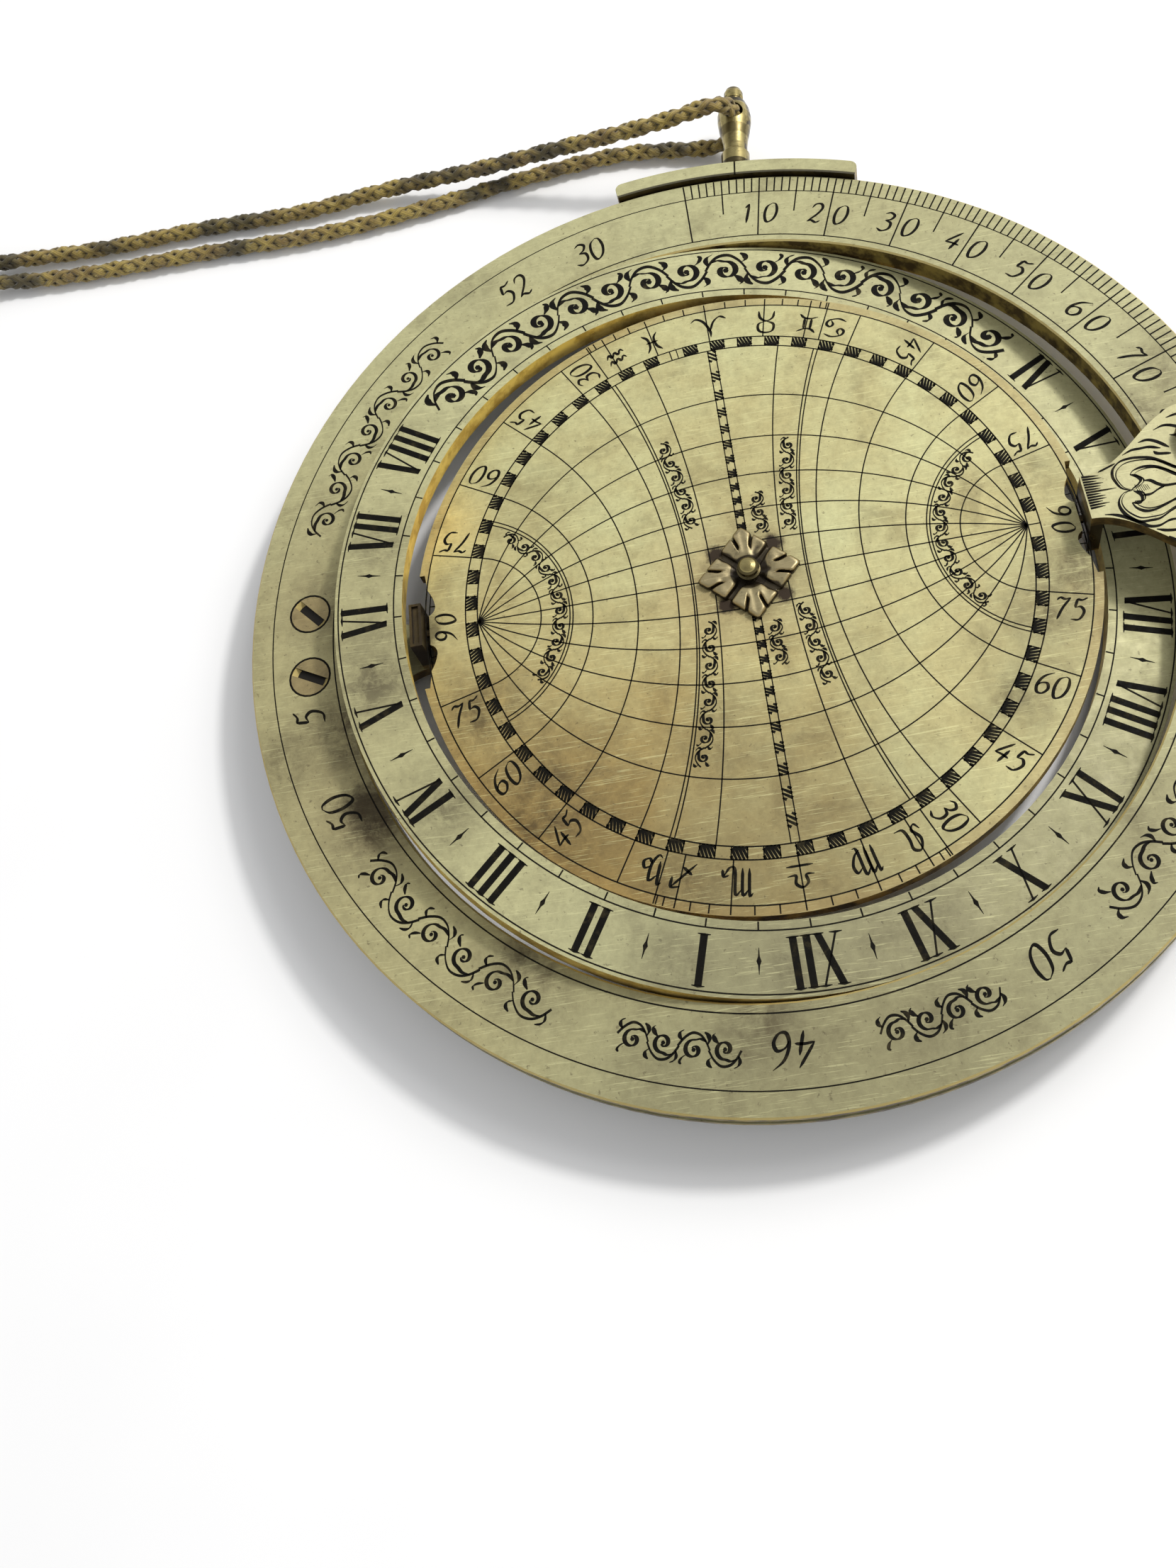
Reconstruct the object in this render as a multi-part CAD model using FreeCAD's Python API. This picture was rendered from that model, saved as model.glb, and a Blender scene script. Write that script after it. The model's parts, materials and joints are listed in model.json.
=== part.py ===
"""Universal ring dial with an astrolabe plate: one STEP file for each piece.

Frame: millimetres, +Z up out of the engraved face, +X to the north celestial pole, +Y to the zero
of the latitude scale. The origin is on the surface that the instrument lies on, under its centre.
"""
import FreeCAD, Part
import math
import os

V = FreeCAD.Vector

# ---- driving dimensions -------------------------------------------------------------------------
# Meridian ring: the outer frame, with the latitude scale on its face.
RING_OUTER = 75.0
RING_INNER = 61.15
RING_THICK = 4.0
RING_BOTTOM = 6.0
RING_TOP = RING_BOTTOM + RING_THICK
PIVOT_Z = RING_BOTTOM + RING_THICK / 2

RING_CORNER = 0.25

# T-shaped groove in the rim, which the suspension slider runs in.
GROOVE_MOUTH_WIDTH = 1.6
GROOVE_WIDE_WIDTH = 2.6
GROOVE_STEP_R = 73.7
GROOVE_FLOOR_R = 72.2

# Hour ring: turns on two pins at noon and midnight, and lies a few degrees open.
HOUR_OUTER = 60.85
HOUR_INNER = 51.0
HOUR_THICK = 3.4
HOUR_OPEN_DEG = 5.9
HOUR_PIN_R = 0.9
HOUR_PIN_INNER = 57.6
HOUR_PIN_OUTER = 70.0

# Astrolabe plate: turns on two pins in the polar axis.
PLATE_R = 50.0
PLATE_THICK = 2.2
PLATE_TOP = PIVOT_Z + PLATE_THICK / 2
PLATE_BOTTOM = PIVOT_Z - PLATE_THICK / 2
NOTCH_TAB_X = 48.0
NOTCH_TAB_HALF = 2.4
NOTCH_LOBE = (47.0, 4.0)
NOTCH_SHOULDER = (48.0, 6.6)
NOTCH_EDGE = (48.35, 9.3)
POLAR_PIN_R = 0.6
POLAR_PIN_INNER = 44.6

# Brackets: one on the face at the north pole, the same one turned over at the south pole.
ARCH_RISE = 2.2
BRACKET_THICK = 2.0
LEG_INNER_X = 48.6
LEG_OUTER_X = 50.4
LEG_HALF = 3.45
LEG_PAST_PIVOT = 3.6
LEG_RIM = 0.4
FOOT_INNER_X = 62.4
BRACKET_OUTER_R = 73.4
SCREW_CIRCLE_R = 66.2
SCREW_ANGLES = (5.0, -4.0)
SCREW_SHANK_R = 1.3
SCREW_HEAD_R = 2.9
SCREW_HEAD_DEPTH = 1.5
SLOT_DEPTH = 0.7
SLOT_WIDTH = 1.3
DECK_TOP = RING_TOP + ARCH_RISE + BRACKET_THICK
NUT_WIDTH = 5.0
NUT_THICK = 1.8

# Alidade under the plate, on the centre pin.
PIN_R = 1.5
ROSETTE_HALF_DIAGONAL = 7.7
ROSETTE_THICK = 1.1
ROSETTE_TURN_DEG = 47
SPRING_WASHER_R = 4.6
SPRING_WASHER_THICK = 0.45
RULE_HALF_LENGTH = 46.5
RULE_THICK = 1.8
RULE_TOP = 6.3
RULE_BOTTOM = RULE_TOP - RULE_THICK
HUB_R = 8.0
THUMB_NUT_R = 5.2
THUMB_NUT_THICK = 3.2
VANE_RADIUS = 40.0
VANE_WIDTH = 9.0
VANE_THICK = 1.4
SIGHT_HOLE_R = 0.5
SIGHT_HOLE_Z = 2.3

# Suspension slider on the rim, with its index at 6.87 degrees of the latitude scale.
SLIDER_ANGLE = 83.13
SLIDER_HALF_ARC = 15.4
SLIDER_INNER_R = 75.2
SLIDER_OUTER_R = 78.0
SLIDER_BOTTOM = RING_BOTTOM - 0.9
SLIDER_TOP = RING_TOP + 0.9
GIB_HALF_ARC = 13.6
SLIDER_SCREW_ARC = 12.2
SLIDER_SCREW_R = 0.9
SLIDER_SCREW_HEAD_R = 1.9

# Finial: turned baluster with a swivel shank, and a cross hole for the cord.
FINIAL_SHANK_R = 1.2
FINIAL_HOLE_R = 1.75
CORD_HOLE_AT = 90.15
CORD_D = 3.2

# GAP is air between neighbours, FIT the radial clearance of a pin, CLEAR how far a cutting tool
# stands out of the metal that it cuts.
GAP = 0.15
FIT = 0.03
CLEAR = 1.0

SLIDER_DIR = V(math.cos(math.radians(SLIDER_ANGLE)), math.sin(math.radians(SLIDER_ANGLE)), 0)
HOLE_CENTRE = SLIDER_DIR * CORD_HOLE_AT + V(0, 0, PIVOT_Z)
X_AXIS, Y_AXIS, Z_AXIS = V(1, 0, 0), V(0, 1, 0), V(0, 0, 1)
ORIGIN = V(0, 0, 0)


# ---- helpers ------------------------------------------------------------------------------------
def save(name, shape):
    """Writes one node's STEP file."""
    shape.exportStep("parts/" + name + ".step")
    print(name, "solids", len(shape.Solids), "valid", shape.isValid(), "volume", round(shape.Volume, 1))


def cylinder(radius, start, direction, length):
    return Part.makeCylinder(radius, length, start, direction)


def turned(profile, base=ORIGIN, direction=Z_AXIS):
    """A solid of revolution from (radius, height) points, stood on base along direction."""
    points = [V(r, 0, h) for r, h in profile]
    wire = Part.makePolygon(points + [points[0]])
    solid = Part.Face(wire).revolve(ORIGIN, Z_AXIS, 360)
    solid.Placement = FreeCAD.Placement(base, FreeCAD.Rotation(Z_AXIS, direction))
    return solid


def band(inner, outer, bottom, top, centre_deg=0.0, half_arc=180.0):
    """A flat ring, or a piece of one, between two radii and two heights."""
    points = [V(inner, 0, bottom), V(outer, 0, bottom), V(outer, 0, top), V(inner, 0, top)]
    face = Part.Face(Part.makePolygon(points + [points[0]]))
    solid = face.revolve(ORIGIN, Z_AXIS, 2 * half_arc)
    solid.rotate(ORIGIN, Z_AXIS, centre_deg - half_arc)
    return solid


def prism(edges, bottom, height):
    """Extrudes a closed outline, drawn at height zero, upwards from bottom."""
    face = Part.Face(Part.Wire(edges))
    face.translate(V(0, 0, bottom))
    return face.extrude(V(0, 0, height))


def turned_over(shape):
    """The same piece moved to the other side: half a turn about the Y axis through the pivots."""
    copy = shape.copy()
    copy.rotate(V(0, 0, PIVOT_Z), Y_AXIS, 180)
    return copy


def on_circle(radius, angle_deg, z=0.0):
    angle = math.radians(angle_deg)
    return V(radius * math.cos(angle), radius * math.sin(angle), z)


# ---- meridian ring and hour ring ----------------------------------------------------------------
def screw_places():
    return [on_circle(SCREW_CIRCLE_R, angle) for angle in SCREW_ANGLES]


def meridian_ring():
    ring = band(RING_INNER, RING_OUTER, RING_BOTTOM, RING_TOP)
    mouth = GROOVE_MOUTH_WIDTH / 2
    wide = GROOVE_WIDE_WIDTH / 2
    ring = ring.cut(band(GROOVE_STEP_R - FIT, RING_OUTER + CLEAR, PIVOT_Z - mouth, PIVOT_Z + mouth))
    ring = ring.cut(band(GROOVE_FLOOR_R, GROOVE_STEP_R, PIVOT_Z - wide, PIVOT_Z + wide))
    for direction in (Y_AXIS, -Y_AXIS):
        start = V(0, 0, PIVOT_Z) + direction * (RING_INNER - CLEAR)
        ring = ring.cut(cylinder(HOUR_PIN_R + FIT, start, direction, HOUR_PIN_OUTER - RING_INNER + CLEAR))
    for place in screw_places():
        holes = north_screw_hole(place)
        ring = ring.cut(holes).cut(turned_over(holes))
    return chamfered_rim(ring)


def chamfered_rim(ring):
    """Breaks the sharp outer and inner corners of the ring's face, as filing leaves them."""
    for radius, side in ((RING_OUTER, 1), (RING_INNER, -1)):
        for z, up in ((RING_TOP, 1), (RING_BOTTOM, -1)):
            points = [V(radius - side * RING_CORNER, 0, z), V(radius, 0, z - up * RING_CORNER),
                      V(radius + side * CLEAR, 0, z - up * RING_CORNER),
                      V(radius + side * CLEAR, 0, z + up * CLEAR),
                      V(radius - side * RING_CORNER, 0, z + up * CLEAR)]
            wedge = Part.Face(Part.makePolygon(points + [points[0]])).revolve(ORIGIN, Z_AXIS, 360)
            ring = ring.cut(wedge)
    return ring


def hour_ring():
    half = HOUR_THICK / 2
    ring = band(HOUR_INNER, HOUR_OUTER, PIVOT_Z - half, PIVOT_Z + half)
    for direction in (Y_AXIS, -Y_AXIS):
        start = V(0, 0, PIVOT_Z) + direction * (HOUR_PIN_INNER - GAP)
        ring = ring.cut(cylinder(HOUR_PIN_R + FIT, start, direction, HOUR_OUTER - HOUR_PIN_INNER + CLEAR))
    ring.rotate(V(0, 0, PIVOT_Z), Y_AXIS, HOUR_OPEN_DEG)
    return ring


def hour_ring_pivots():
    """Two plain pins, at noon and midnight, pressed into the meridian ring from its rim."""
    pins = []
    for direction in (Y_AXIS, -Y_AXIS):
        start = V(0, 0, PIVOT_Z) + direction * HOUR_PIN_INNER
        pins.append(cylinder(HOUR_PIN_R, start, direction, HOUR_PIN_OUTER - HOUR_PIN_INNER - GAP))
    return Part.makeCompound(pins)


# ---- astrolabe plate ----------------------------------------------------------------------------
def notch_outline():
    """The cut at the north pole: an ogee shoulder each side, two round lobes and a tab between."""
    lobe_top = V(*NOTCH_LOBE, 0)
    tab = V(NOTCH_TAB_X, NOTCH_TAB_HALF, 0)
    shoulder = V(*NOTCH_SHOULDER, 0)
    edge = V(*NOTCH_EDGE, 0)
    outside = V(PLATE_R + CLEAR, edge.y, 0)
    upper = [Part.LineSegment(tab, V(tab.x, 0, 0)).toShape(),
             Part.Arc(tab, V(47.25, 3.0, 0), lobe_top).toShape(),
             Part.Arc(lobe_top, V(47.3, 5.2, 0), shoulder).toShape(),
             Part.LineSegment(shoulder, edge).toShape(),
             Part.LineSegment(edge, outside).toShape(),
             Part.LineSegment(outside, V(outside.x, 0, 0)).toShape()]
    lower = [line.mirror(ORIGIN, Y_AXIS) for line in upper]
    return Part.__sortEdges__(upper + lower)


def planisphere_plate():
    plate = cylinder(PLATE_R, V(0, 0, PLATE_BOTTOM), Z_AXIS, PLATE_THICK)
    notch = prism(notch_outline(), PLATE_BOTTOM - CLEAR, PLATE_THICK + 2 * CLEAR)
    pin_start = V(POLAR_PIN_INNER - GAP, 0, PIVOT_Z)
    pin_hole = cylinder(POLAR_PIN_R + FIT, pin_start, X_AXIS, PLATE_R - POLAR_PIN_INNER + CLEAR)
    for tool in (notch, pin_hole):
        plate = plate.cut(tool).cut(turned_over(tool))
    return plate.cut(pin_bore(PLATE_BOTTOM, PLATE_THICK))


def pin_bore(bottom, thick):
    """The hole for the centre pin through a piece between two heights."""
    return cylinder(PIN_R + FIT, V(0, 0, bottom - CLEAR), Z_AXIS, thick + 2 * CLEAR)


def polar_pivots():
    """A plain pin through each bracket leg into the edge of the plate."""
    pin = cylinder(POLAR_PIN_R, V(POLAR_PIN_INNER, 0, PIVOT_Z), X_AXIS, LEG_OUTER_X - POLAR_PIN_INNER)
    return Part.makeCompound([pin, turned_over(pin)])


# ---- brackets -----------------------------------------------------------------------------------
def bracket_outline():
    """The bracket seen from its face: narrow at the pole, flaring in a hollow curve to the ring."""
    flare = [V(LEG_INNER_X, LEG_HALF, 0), V(51.7, 4.0, 0), V(55.9, 6.55, 0), V(59.3, 9.4, 0),
             V(62.6, 11.6, 0)]
    curve = Part.BSplineCurve()
    curve.interpolate(flare)
    ear_out = V(66.4, 12.4, 0)
    end_mid = V(BRACKET_OUTER_R, 0, 0)
    end_side = V(71.4, 8.2, 0)
    upper = [curve.toShape(), Part.Arc(flare[-1], V(64.6, 12.5, 0), ear_out).toShape(),
             Part.Arc(ear_out, V(68.4, 9.6, 0), end_side).toShape()]
    lower = [edge.mirror(ORIGIN, Y_AXIS) for edge in upper]
    ends = [Part.Arc(end_side, end_mid, V(end_side.x, -end_side.y, 0)).toShape(),
            Part.LineSegment(V(LEG_INNER_X, -LEG_HALF, 0), flare[0]).toShape()]
    return Part.__sortEdges__(upper + lower + ends)


def north_screw_hole(place):
    """Clearance for one screw through ring and bracket, countersunk in the ring's back."""
    bottom = V(place.x, place.y, RING_BOTTOM - CLEAR)
    shank = cylinder(SCREW_SHANK_R + FIT, bottom, Z_AXIS, DECK_TOP - RING_BOTTOM + 2 * CLEAR)
    sink = Part.makeCone(SCREW_HEAD_R + FIT, SCREW_SHANK_R + FIT, SCREW_HEAD_DEPTH,
                         V(place.x, place.y, RING_BOTTOM), Z_AXIS)
    return shank.fuse(sink)


def north_bracket():
    deck = RING_TOP + ARCH_RISE
    plate = prism(bracket_outline(), deck, BRACKET_THICK)
    foot = prism(bracket_outline(), RING_TOP, ARCH_RISE + BRACKET_THICK / 2)
    foot = foot.common(band(FOOT_INNER_X, BRACKET_OUTER_R + CLEAR, RING_TOP, DECK_TOP, 0, 30))
    leg_bottom = PIVOT_Z - LEG_PAST_PIVOT
    leg_thick = LEG_OUTER_X - LEG_INNER_X
    leg = Part.makeBox(leg_thick, 2 * LEG_HALF, deck + BRACKET_THICK / 2 - leg_bottom,
                       V(LEG_INNER_X, -LEG_HALF, leg_bottom))
    recess = Part.makeBox(leg_thick - 2 * LEG_RIM, 2 * (LEG_HALF - LEG_RIM), LEG_RIM,
                          V(LEG_INNER_X + LEG_RIM, -LEG_HALF + LEG_RIM, leg_bottom))
    bracket = plate.fuse([foot, leg]).removeSplitter().cut(recess)
    for place in screw_places():
        bracket = bracket.cut(north_screw_hole(place))
    pin_start = V(LEG_INNER_X - CLEAR, 0, PIVOT_Z)
    return bracket.cut(cylinder(POLAR_PIN_R + FIT, pin_start, X_AXIS, leg_thick + 2 * CLEAR))


def bracket_screws(slot_degrees):
    """Countersunk slotted screws, heads flush with the back of the ring and points up."""
    length = DECK_TOP + NUT_THICK - RING_BOTTOM
    screws = []
    for place, slot_deg in zip(screw_places(), slot_degrees):
        base = V(place.x, place.y, RING_BOTTOM)
        head = Part.makeCone(SCREW_HEAD_R, SCREW_SHANK_R, SCREW_HEAD_DEPTH, base, Z_AXIS)
        screw = head.fuse(cylinder(SCREW_SHANK_R, base, Z_AXIS, length))
        slot = Part.makeBox(2 * (SCREW_HEAD_R + CLEAR), SLOT_WIDTH, SLOT_DEPTH + CLEAR,
                            V(-SCREW_HEAD_R - CLEAR, -SLOT_WIDTH / 2, -CLEAR))
        slot.rotate(ORIGIN, Z_AXIS, slot_deg)
        slot.translate(base)
        screws.append(screw.cut(slot))
    return Part.makeCompound(screws)


def bracket_nuts():
    """Small square nuts that close the bracket screws, each with its corners broken."""
    nuts = []
    for place, angle in zip(screw_places(), SCREW_ANGLES):
        block = Part.makeBox(NUT_WIDTH, NUT_WIDTH, NUT_THICK, V(-NUT_WIDTH / 2, -NUT_WIDTH / 2, 0))
        block = block.common(turned([(0, 0), (3.3, 0), (3.3, 1.2), (2.7, NUT_THICK), (0, NUT_THICK)]))
        block = block.cut(cylinder(SCREW_SHANK_R + FIT, ORIGIN, Z_AXIS, NUT_THICK))
        block.rotate(ORIGIN, Z_AXIS, angle)
        block.translate(V(place.x, place.y, DECK_TOP))
        nuts.append(block)
    return Part.makeCompound(nuts)


# ---- centre pin, rosette and alidade ------------------------------------------------------------
def centre_pin():
    """Turned pin with a domed button head on the rosette, down to the thumb nut."""
    head_base = PLATE_TOP + GAP / 3 + ROSETTE_THICK
    top = head_base + 2.0
    profile = [(0, 0.3), (1.2, 0.3), (PIN_R, 0.7), (PIN_R, head_base), (1.75, head_base),
               (1.75, head_base + 0.45), (1.45, head_base + 0.6), (1.6, head_base + 1.0),
               (1.5, head_base + 1.45), (1.1, head_base + 1.8), (0.5, top - 0.04), (0, top)]
    return turned(profile)


def rosette_washer():
    """Four-petalled square flower under the pin's head, its petals split towards the sides."""
    side = ROSETTE_HALF_DIAGONAL * math.sqrt(2)
    bottom = PLATE_TOP + GAP / 3
    flower = Part.makeBox(side, side, ROSETTE_THICK, V(-side / 2, -side / 2, 0))
    dome = turned([(0, 0), (7.9, 0), (7.9, 0.45), (6.2, 0.8), (3.6, ROSETTE_THICK), (0, ROSETTE_THICK)])
    flower = flower.common(dome)
    for quarter in range(4):
        groove = Part.makeBox(4.0, 0.5, 1.0, V(3.0, -0.25, 0.45))
        vee = Part.makeBox(1.2, 1.2, ROSETTE_THICK + 1, V(-0.6, -0.6, -0.5))
        vee.rotate(ORIGIN, Z_AXIS, 45)
        vee.translate(V(side / 2 + 0.25, 0, 0))
        for tool in (groove, vee):
            tool.rotate(ORIGIN, Z_AXIS, 90 * quarter)
            flower = flower.cut(tool)
    flower.rotate(ORIGIN, Z_AXIS, ROSETTE_TURN_DEG)
    flower.translate(V(0, 0, bottom))
    return flower.cut(pin_bore(bottom, ROSETTE_THICK))


def spring_washer():
    """Thin friction washer between the plate and the rule."""
    bottom = RULE_TOP + 0.05
    profile = [(PIN_R + FIT, bottom), (SPRING_WASHER_R, bottom), (SPRING_WASHER_R, bottom + 0.3),
               (PIN_R + FIT, bottom + SPRING_WASHER_THICK)]
    return turned(profile)


def rule_outline():
    """Half of the rule along +Y: round hub, waisted arm and an arrow point, then mirrored."""
    hub_x, hub_y = 3.2, math.sqrt(HUB_R ** 2 - 3.2 ** 2)
    arm = [V(hub_x, hub_y, 0), V(2.6, 12.0, 0), V(2.6, 34.0, 0), V(4.6, 36.5, 0), V(4.6, 42.0, 0),
           V(2.2, 43.6, 0), V(0, RULE_HALF_LENGTH, 0)]
    right = [Part.LineSegment(a, b).toShape() for a, b in zip(arm, arm[1:])]
    top = right + [edge.mirror(ORIGIN, X_AXIS) for edge in right]
    bottom = [edge.mirror(ORIGIN, Y_AXIS) for edge in top]
    hub_right = Part.Arc(V(hub_x, hub_y, 0), V(HUB_R, 0, 0), V(hub_x, -hub_y, 0)).toShape()
    return Part.__sortEdges__(top + bottom + [hub_right, hub_right.mirror(ORIGIN, X_AXIS)])


def alidade_rule():
    rule = prism(rule_outline(), RULE_BOTTOM, RULE_THICK)
    rule = rule.cut(pin_bore(RULE_BOTTOM, RULE_THICK))
    for side in (1, -1):
        rule = rule.cut(vane_tenon(side, FIT))
    return rule


def vane_tenon(side, extra=0.0):
    """The square tenon of a sight vane, through the rule."""
    half, thick = 1.6 + extra, VANE_THICK / 2 + extra
    return Part.makeBox(2 * half, 2 * thick, RULE_THICK + extra,
                        V(-half, side * VANE_RADIUS - thick, RULE_BOTTOM - extra / 2))


def sight_vane(side):
    """Upright vane under the end of the rule, waisted, with a small sight hole."""
    half = VANE_WIDTH / 2
    height = RULE_BOTTOM
    blade = Part.makeBox(VANE_WIDTH, VANE_THICK, height,
                         V(-half, side * VANE_RADIUS - VANE_THICK / 2, 0))
    for x in (-half - 0.6, half + 0.6):
        waist = cylinder(1.5, V(x, side * VANE_RADIUS - 2, height / 2), Y_AXIS, 4)
        blade = blade.cut(waist)
    blade = blade.fuse(vane_tenon(side))
    return blade.cut(cylinder(SIGHT_HOLE_R, V(0, side * VANE_RADIUS - 2, SIGHT_HOLE_Z), Y_AXIS, 4))


def nut_washer():
    thick = RULE_BOTTOM - THUMB_NUT_THICK
    profile = [(PIN_R + FIT, 0), (6.4, 0), (6.4, thick * 0.6), (6.0, thick), (PIN_R + FIT, thick)]
    return turned(profile, V(0, 0, THUMB_NUT_THICK))


def thumb_nut():
    """Round nut on the end of the centre pin, its rim scalloped for the fingers."""
    nut = turned([(0, 0), (4.4, 0), (THUMB_NUT_R, 0.7), (THUMB_NUT_R, 2.5), (4.4, THUMB_NUT_THICK),
                  (0, THUMB_NUT_THICK)])
    nut = nut.cut(cylinder(PIN_R + FIT, V(0, 0, 0.3), Z_AXIS, 5))
    for step in range(10):
        centre = on_circle(THUMB_NUT_R + 0.75, step * 36, -1)
        nut = nut.cut(cylinder(1.1, centre, Z_AXIS, 6))
    return nut


# ---- suspension ---------------------------------------------------------------------------------
def slider_screw_dirs():
    return [on_circle(1, SLIDER_ANGLE + side * SLIDER_SCREW_ARC) for side in (1, -1)]


def at_pivot_height(point):
    return V(point.x, point.y, PIVOT_Z)


def suspension_slider():
    """Curved shoe outside the rim, proud of the ring on both faces, with rounded ends."""
    shoe = band(SLIDER_INNER_R, SLIDER_OUTER_R, SLIDER_BOTTOM, SLIDER_TOP, SLIDER_ANGLE, SLIDER_HALF_ARC)
    corner = 1.3
    for side in (1, -1):
        end = SLIDER_ANGLE + side * SLIDER_HALF_ARC
        inset = math.degrees(corner / SLIDER_OUTER_R)
        block = band(SLIDER_OUTER_R - corner, SLIDER_OUTER_R + 1, SLIDER_BOTTOM - 1, SLIDER_TOP + 1,
                     end, inset)
        round_at = on_circle(SLIDER_OUTER_R - corner, end - side * inset, SLIDER_BOTTOM - 2)
        keep = cylinder(corner, round_at, Z_AXIS, 12)
        shoe = shoe.cut(block.cut(keep))
    for direction in slider_screw_dirs():
        start = at_pivot_height(direction * (SLIDER_INNER_R - 1))
        shoe = shoe.cut(cylinder(SLIDER_SCREW_R + FIT, start, direction, 6))
    inner = at_pivot_height(SLIDER_DIR * (SLIDER_INNER_R - 1))
    shoe = shoe.cut(cylinder(FINIAL_SHANK_R + FIT, inner, SLIDER_DIR, 6))
    shoe = shoe.cut(cylinder(2.15, inner, SLIDER_DIR, 2.1))
    index = Part.makeBox(5, 0.3, 0.5, V(SLIDER_INNER_R - 1, -0.15, SLIDER_TOP - 0.35))
    index.rotate(ORIGIN, Z_AXIS, SLIDER_ANGLE)
    return shoe.cut(index)


def slider_gib():
    """T-section strip in the rim's groove: the screws draw the shoe to it."""
    mouth = GROOVE_MOUTH_WIDTH / 2 - 0.1
    wide = GROOVE_WIDE_WIDTH / 2 - 0.15
    stem = band(GROOVE_STEP_R - 0.5, SLIDER_INNER_R, PIVOT_Z - mouth, PIVOT_Z + mouth,
                SLIDER_ANGLE, GIB_HALF_ARC)
    head = band(GROOVE_FLOOR_R + 0.2, GROOVE_STEP_R - 0.2, PIVOT_Z - wide, PIVOT_Z + wide,
                SLIDER_ANGLE, GIB_HALF_ARC)
    gib = stem.fuse(head).removeSplitter()
    for direction in slider_screw_dirs():
        start = at_pivot_height(direction * (GROOVE_STEP_R - 0.9))
        gib = gib.cut(cylinder(0.6 + FIT, start, direction, 4))
    relief = at_pivot_height(SLIDER_DIR * (SLIDER_INNER_R - 1.2))
    return gib.cut(cylinder(2.2, relief, SLIDER_DIR, 3))


def slider_screws():
    """Two round-headed screws through the shoe into the gib."""
    screws = []
    for direction in slider_screw_dirs():
        tip = GROOVE_STEP_R - 0.8
        profile = [(0, 0), (0.6, 0), (0.6, SLIDER_INNER_R + 0.2 - tip),
                   (SLIDER_SCREW_R, SLIDER_INNER_R + 0.3 - tip), (SLIDER_SCREW_R, SLIDER_OUTER_R - tip),
                   (SLIDER_SCREW_HEAD_R, SLIDER_OUTER_R - tip), (1.8, SLIDER_OUTER_R + 0.5 - tip),
                   (1.3, SLIDER_OUTER_R + 0.95 - tip), (0.6, SLIDER_OUTER_R + 1.15 - tip),
                   (0, SLIDER_OUTER_R + 1.2 - tip)]
        screw = turned(profile, at_pivot_height(direction * tip), direction)
        screws.append(screw)
    return Part.makeCompound(screws)


def finial():
    """Baluster on the slider, with a shank through it, a cross hole and a domed cap."""
    foot = SLIDER_OUTER_R + GAP
    profile = [(0, 75.5), (FINIAL_SHANK_R, 75.5), (FINIAL_SHANK_R, foot), (2.2, foot), (2.45, 78.7),
               (2.45, 81.8), (2.1, 82.3), (2.1, 83.6), (2.3, 85.4), (2.65, 87.2), (2.92, 89.2),
               (2.95, 90.6), (2.7, 92.2), (2.2, 93.6), (1.65, 94.4), (1.5, 94.8), (1.7, 95.2),
               (1.7, 96.1), (1.4, 96.9), (0.7, 97.3), (0, 97.4)]
    body = turned(profile, V(0, 0, PIVOT_Z), SLIDER_DIR)
    return body.cut(cylinder(FINIAL_HOLE_R, HOLE_CENTRE - Z_AXIS * 5, Z_AXIS, 10))


def finial_burr():
    """The riveted ring that holds the finial's shank in the slider and lets it swivel."""
    profile = [(FINIAL_SHANK_R + FIT, 75.45), (1.95, 75.45), (1.95, 75.85), (FINIAL_SHANK_R + FIT, 76.15)]
    return turned(profile, V(0, 0, PIVOT_Z), SLIDER_DIR)


# ---- cord ---------------------------------------------------------------------------------------
TABLE_Z = CORD_D / 2

# Each strand starts inside the cross hole and runs out over the left side, down to the table.
UPPER_ROUTE = [(HOLE_CENTRE.x, HOLE_CENTRE.y, HOLE_CENTRE.z), (10.7, 89.3, 12.0), (7.4, 88.4, 14.1),
               (0.8, 87.6, 13.4), (-8.6, 88.4, 11.5), (-20.6, 90.4, 8.6), (-36.4, 92.6, 4.9),
               (-53.2, 94.9, 2.2), (-70.0, 93.4, TABLE_Z), (-88.6, 94.7, TABLE_Z),
               (-107.6, 94.2, TABLE_Z), (-124.8, 95.6, 1.8), (-134.4, 94.6, 3.2)]
LOWER_ROUTE = [(HOLE_CENTRE.x, HOLE_CENTRE.y, HOLE_CENTRE.z), (10.3, 89.5, 4.0), (7.4, 89.5, 1.9),
               (0.6, 90.9, 1.7), (-9.6, 93.0, TABLE_Z), (-24.4, 92.1, TABLE_Z), (-45.2, 89.1, TABLE_Z),
               (-66.4, 87.3, TABLE_Z), (-88.2, 88.7, TABLE_Z), (-107.8, 88.8, TABLE_Z),
               (-124.6, 90.0, 1.8), (-134.4, 91.4, 3.2)]


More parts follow.
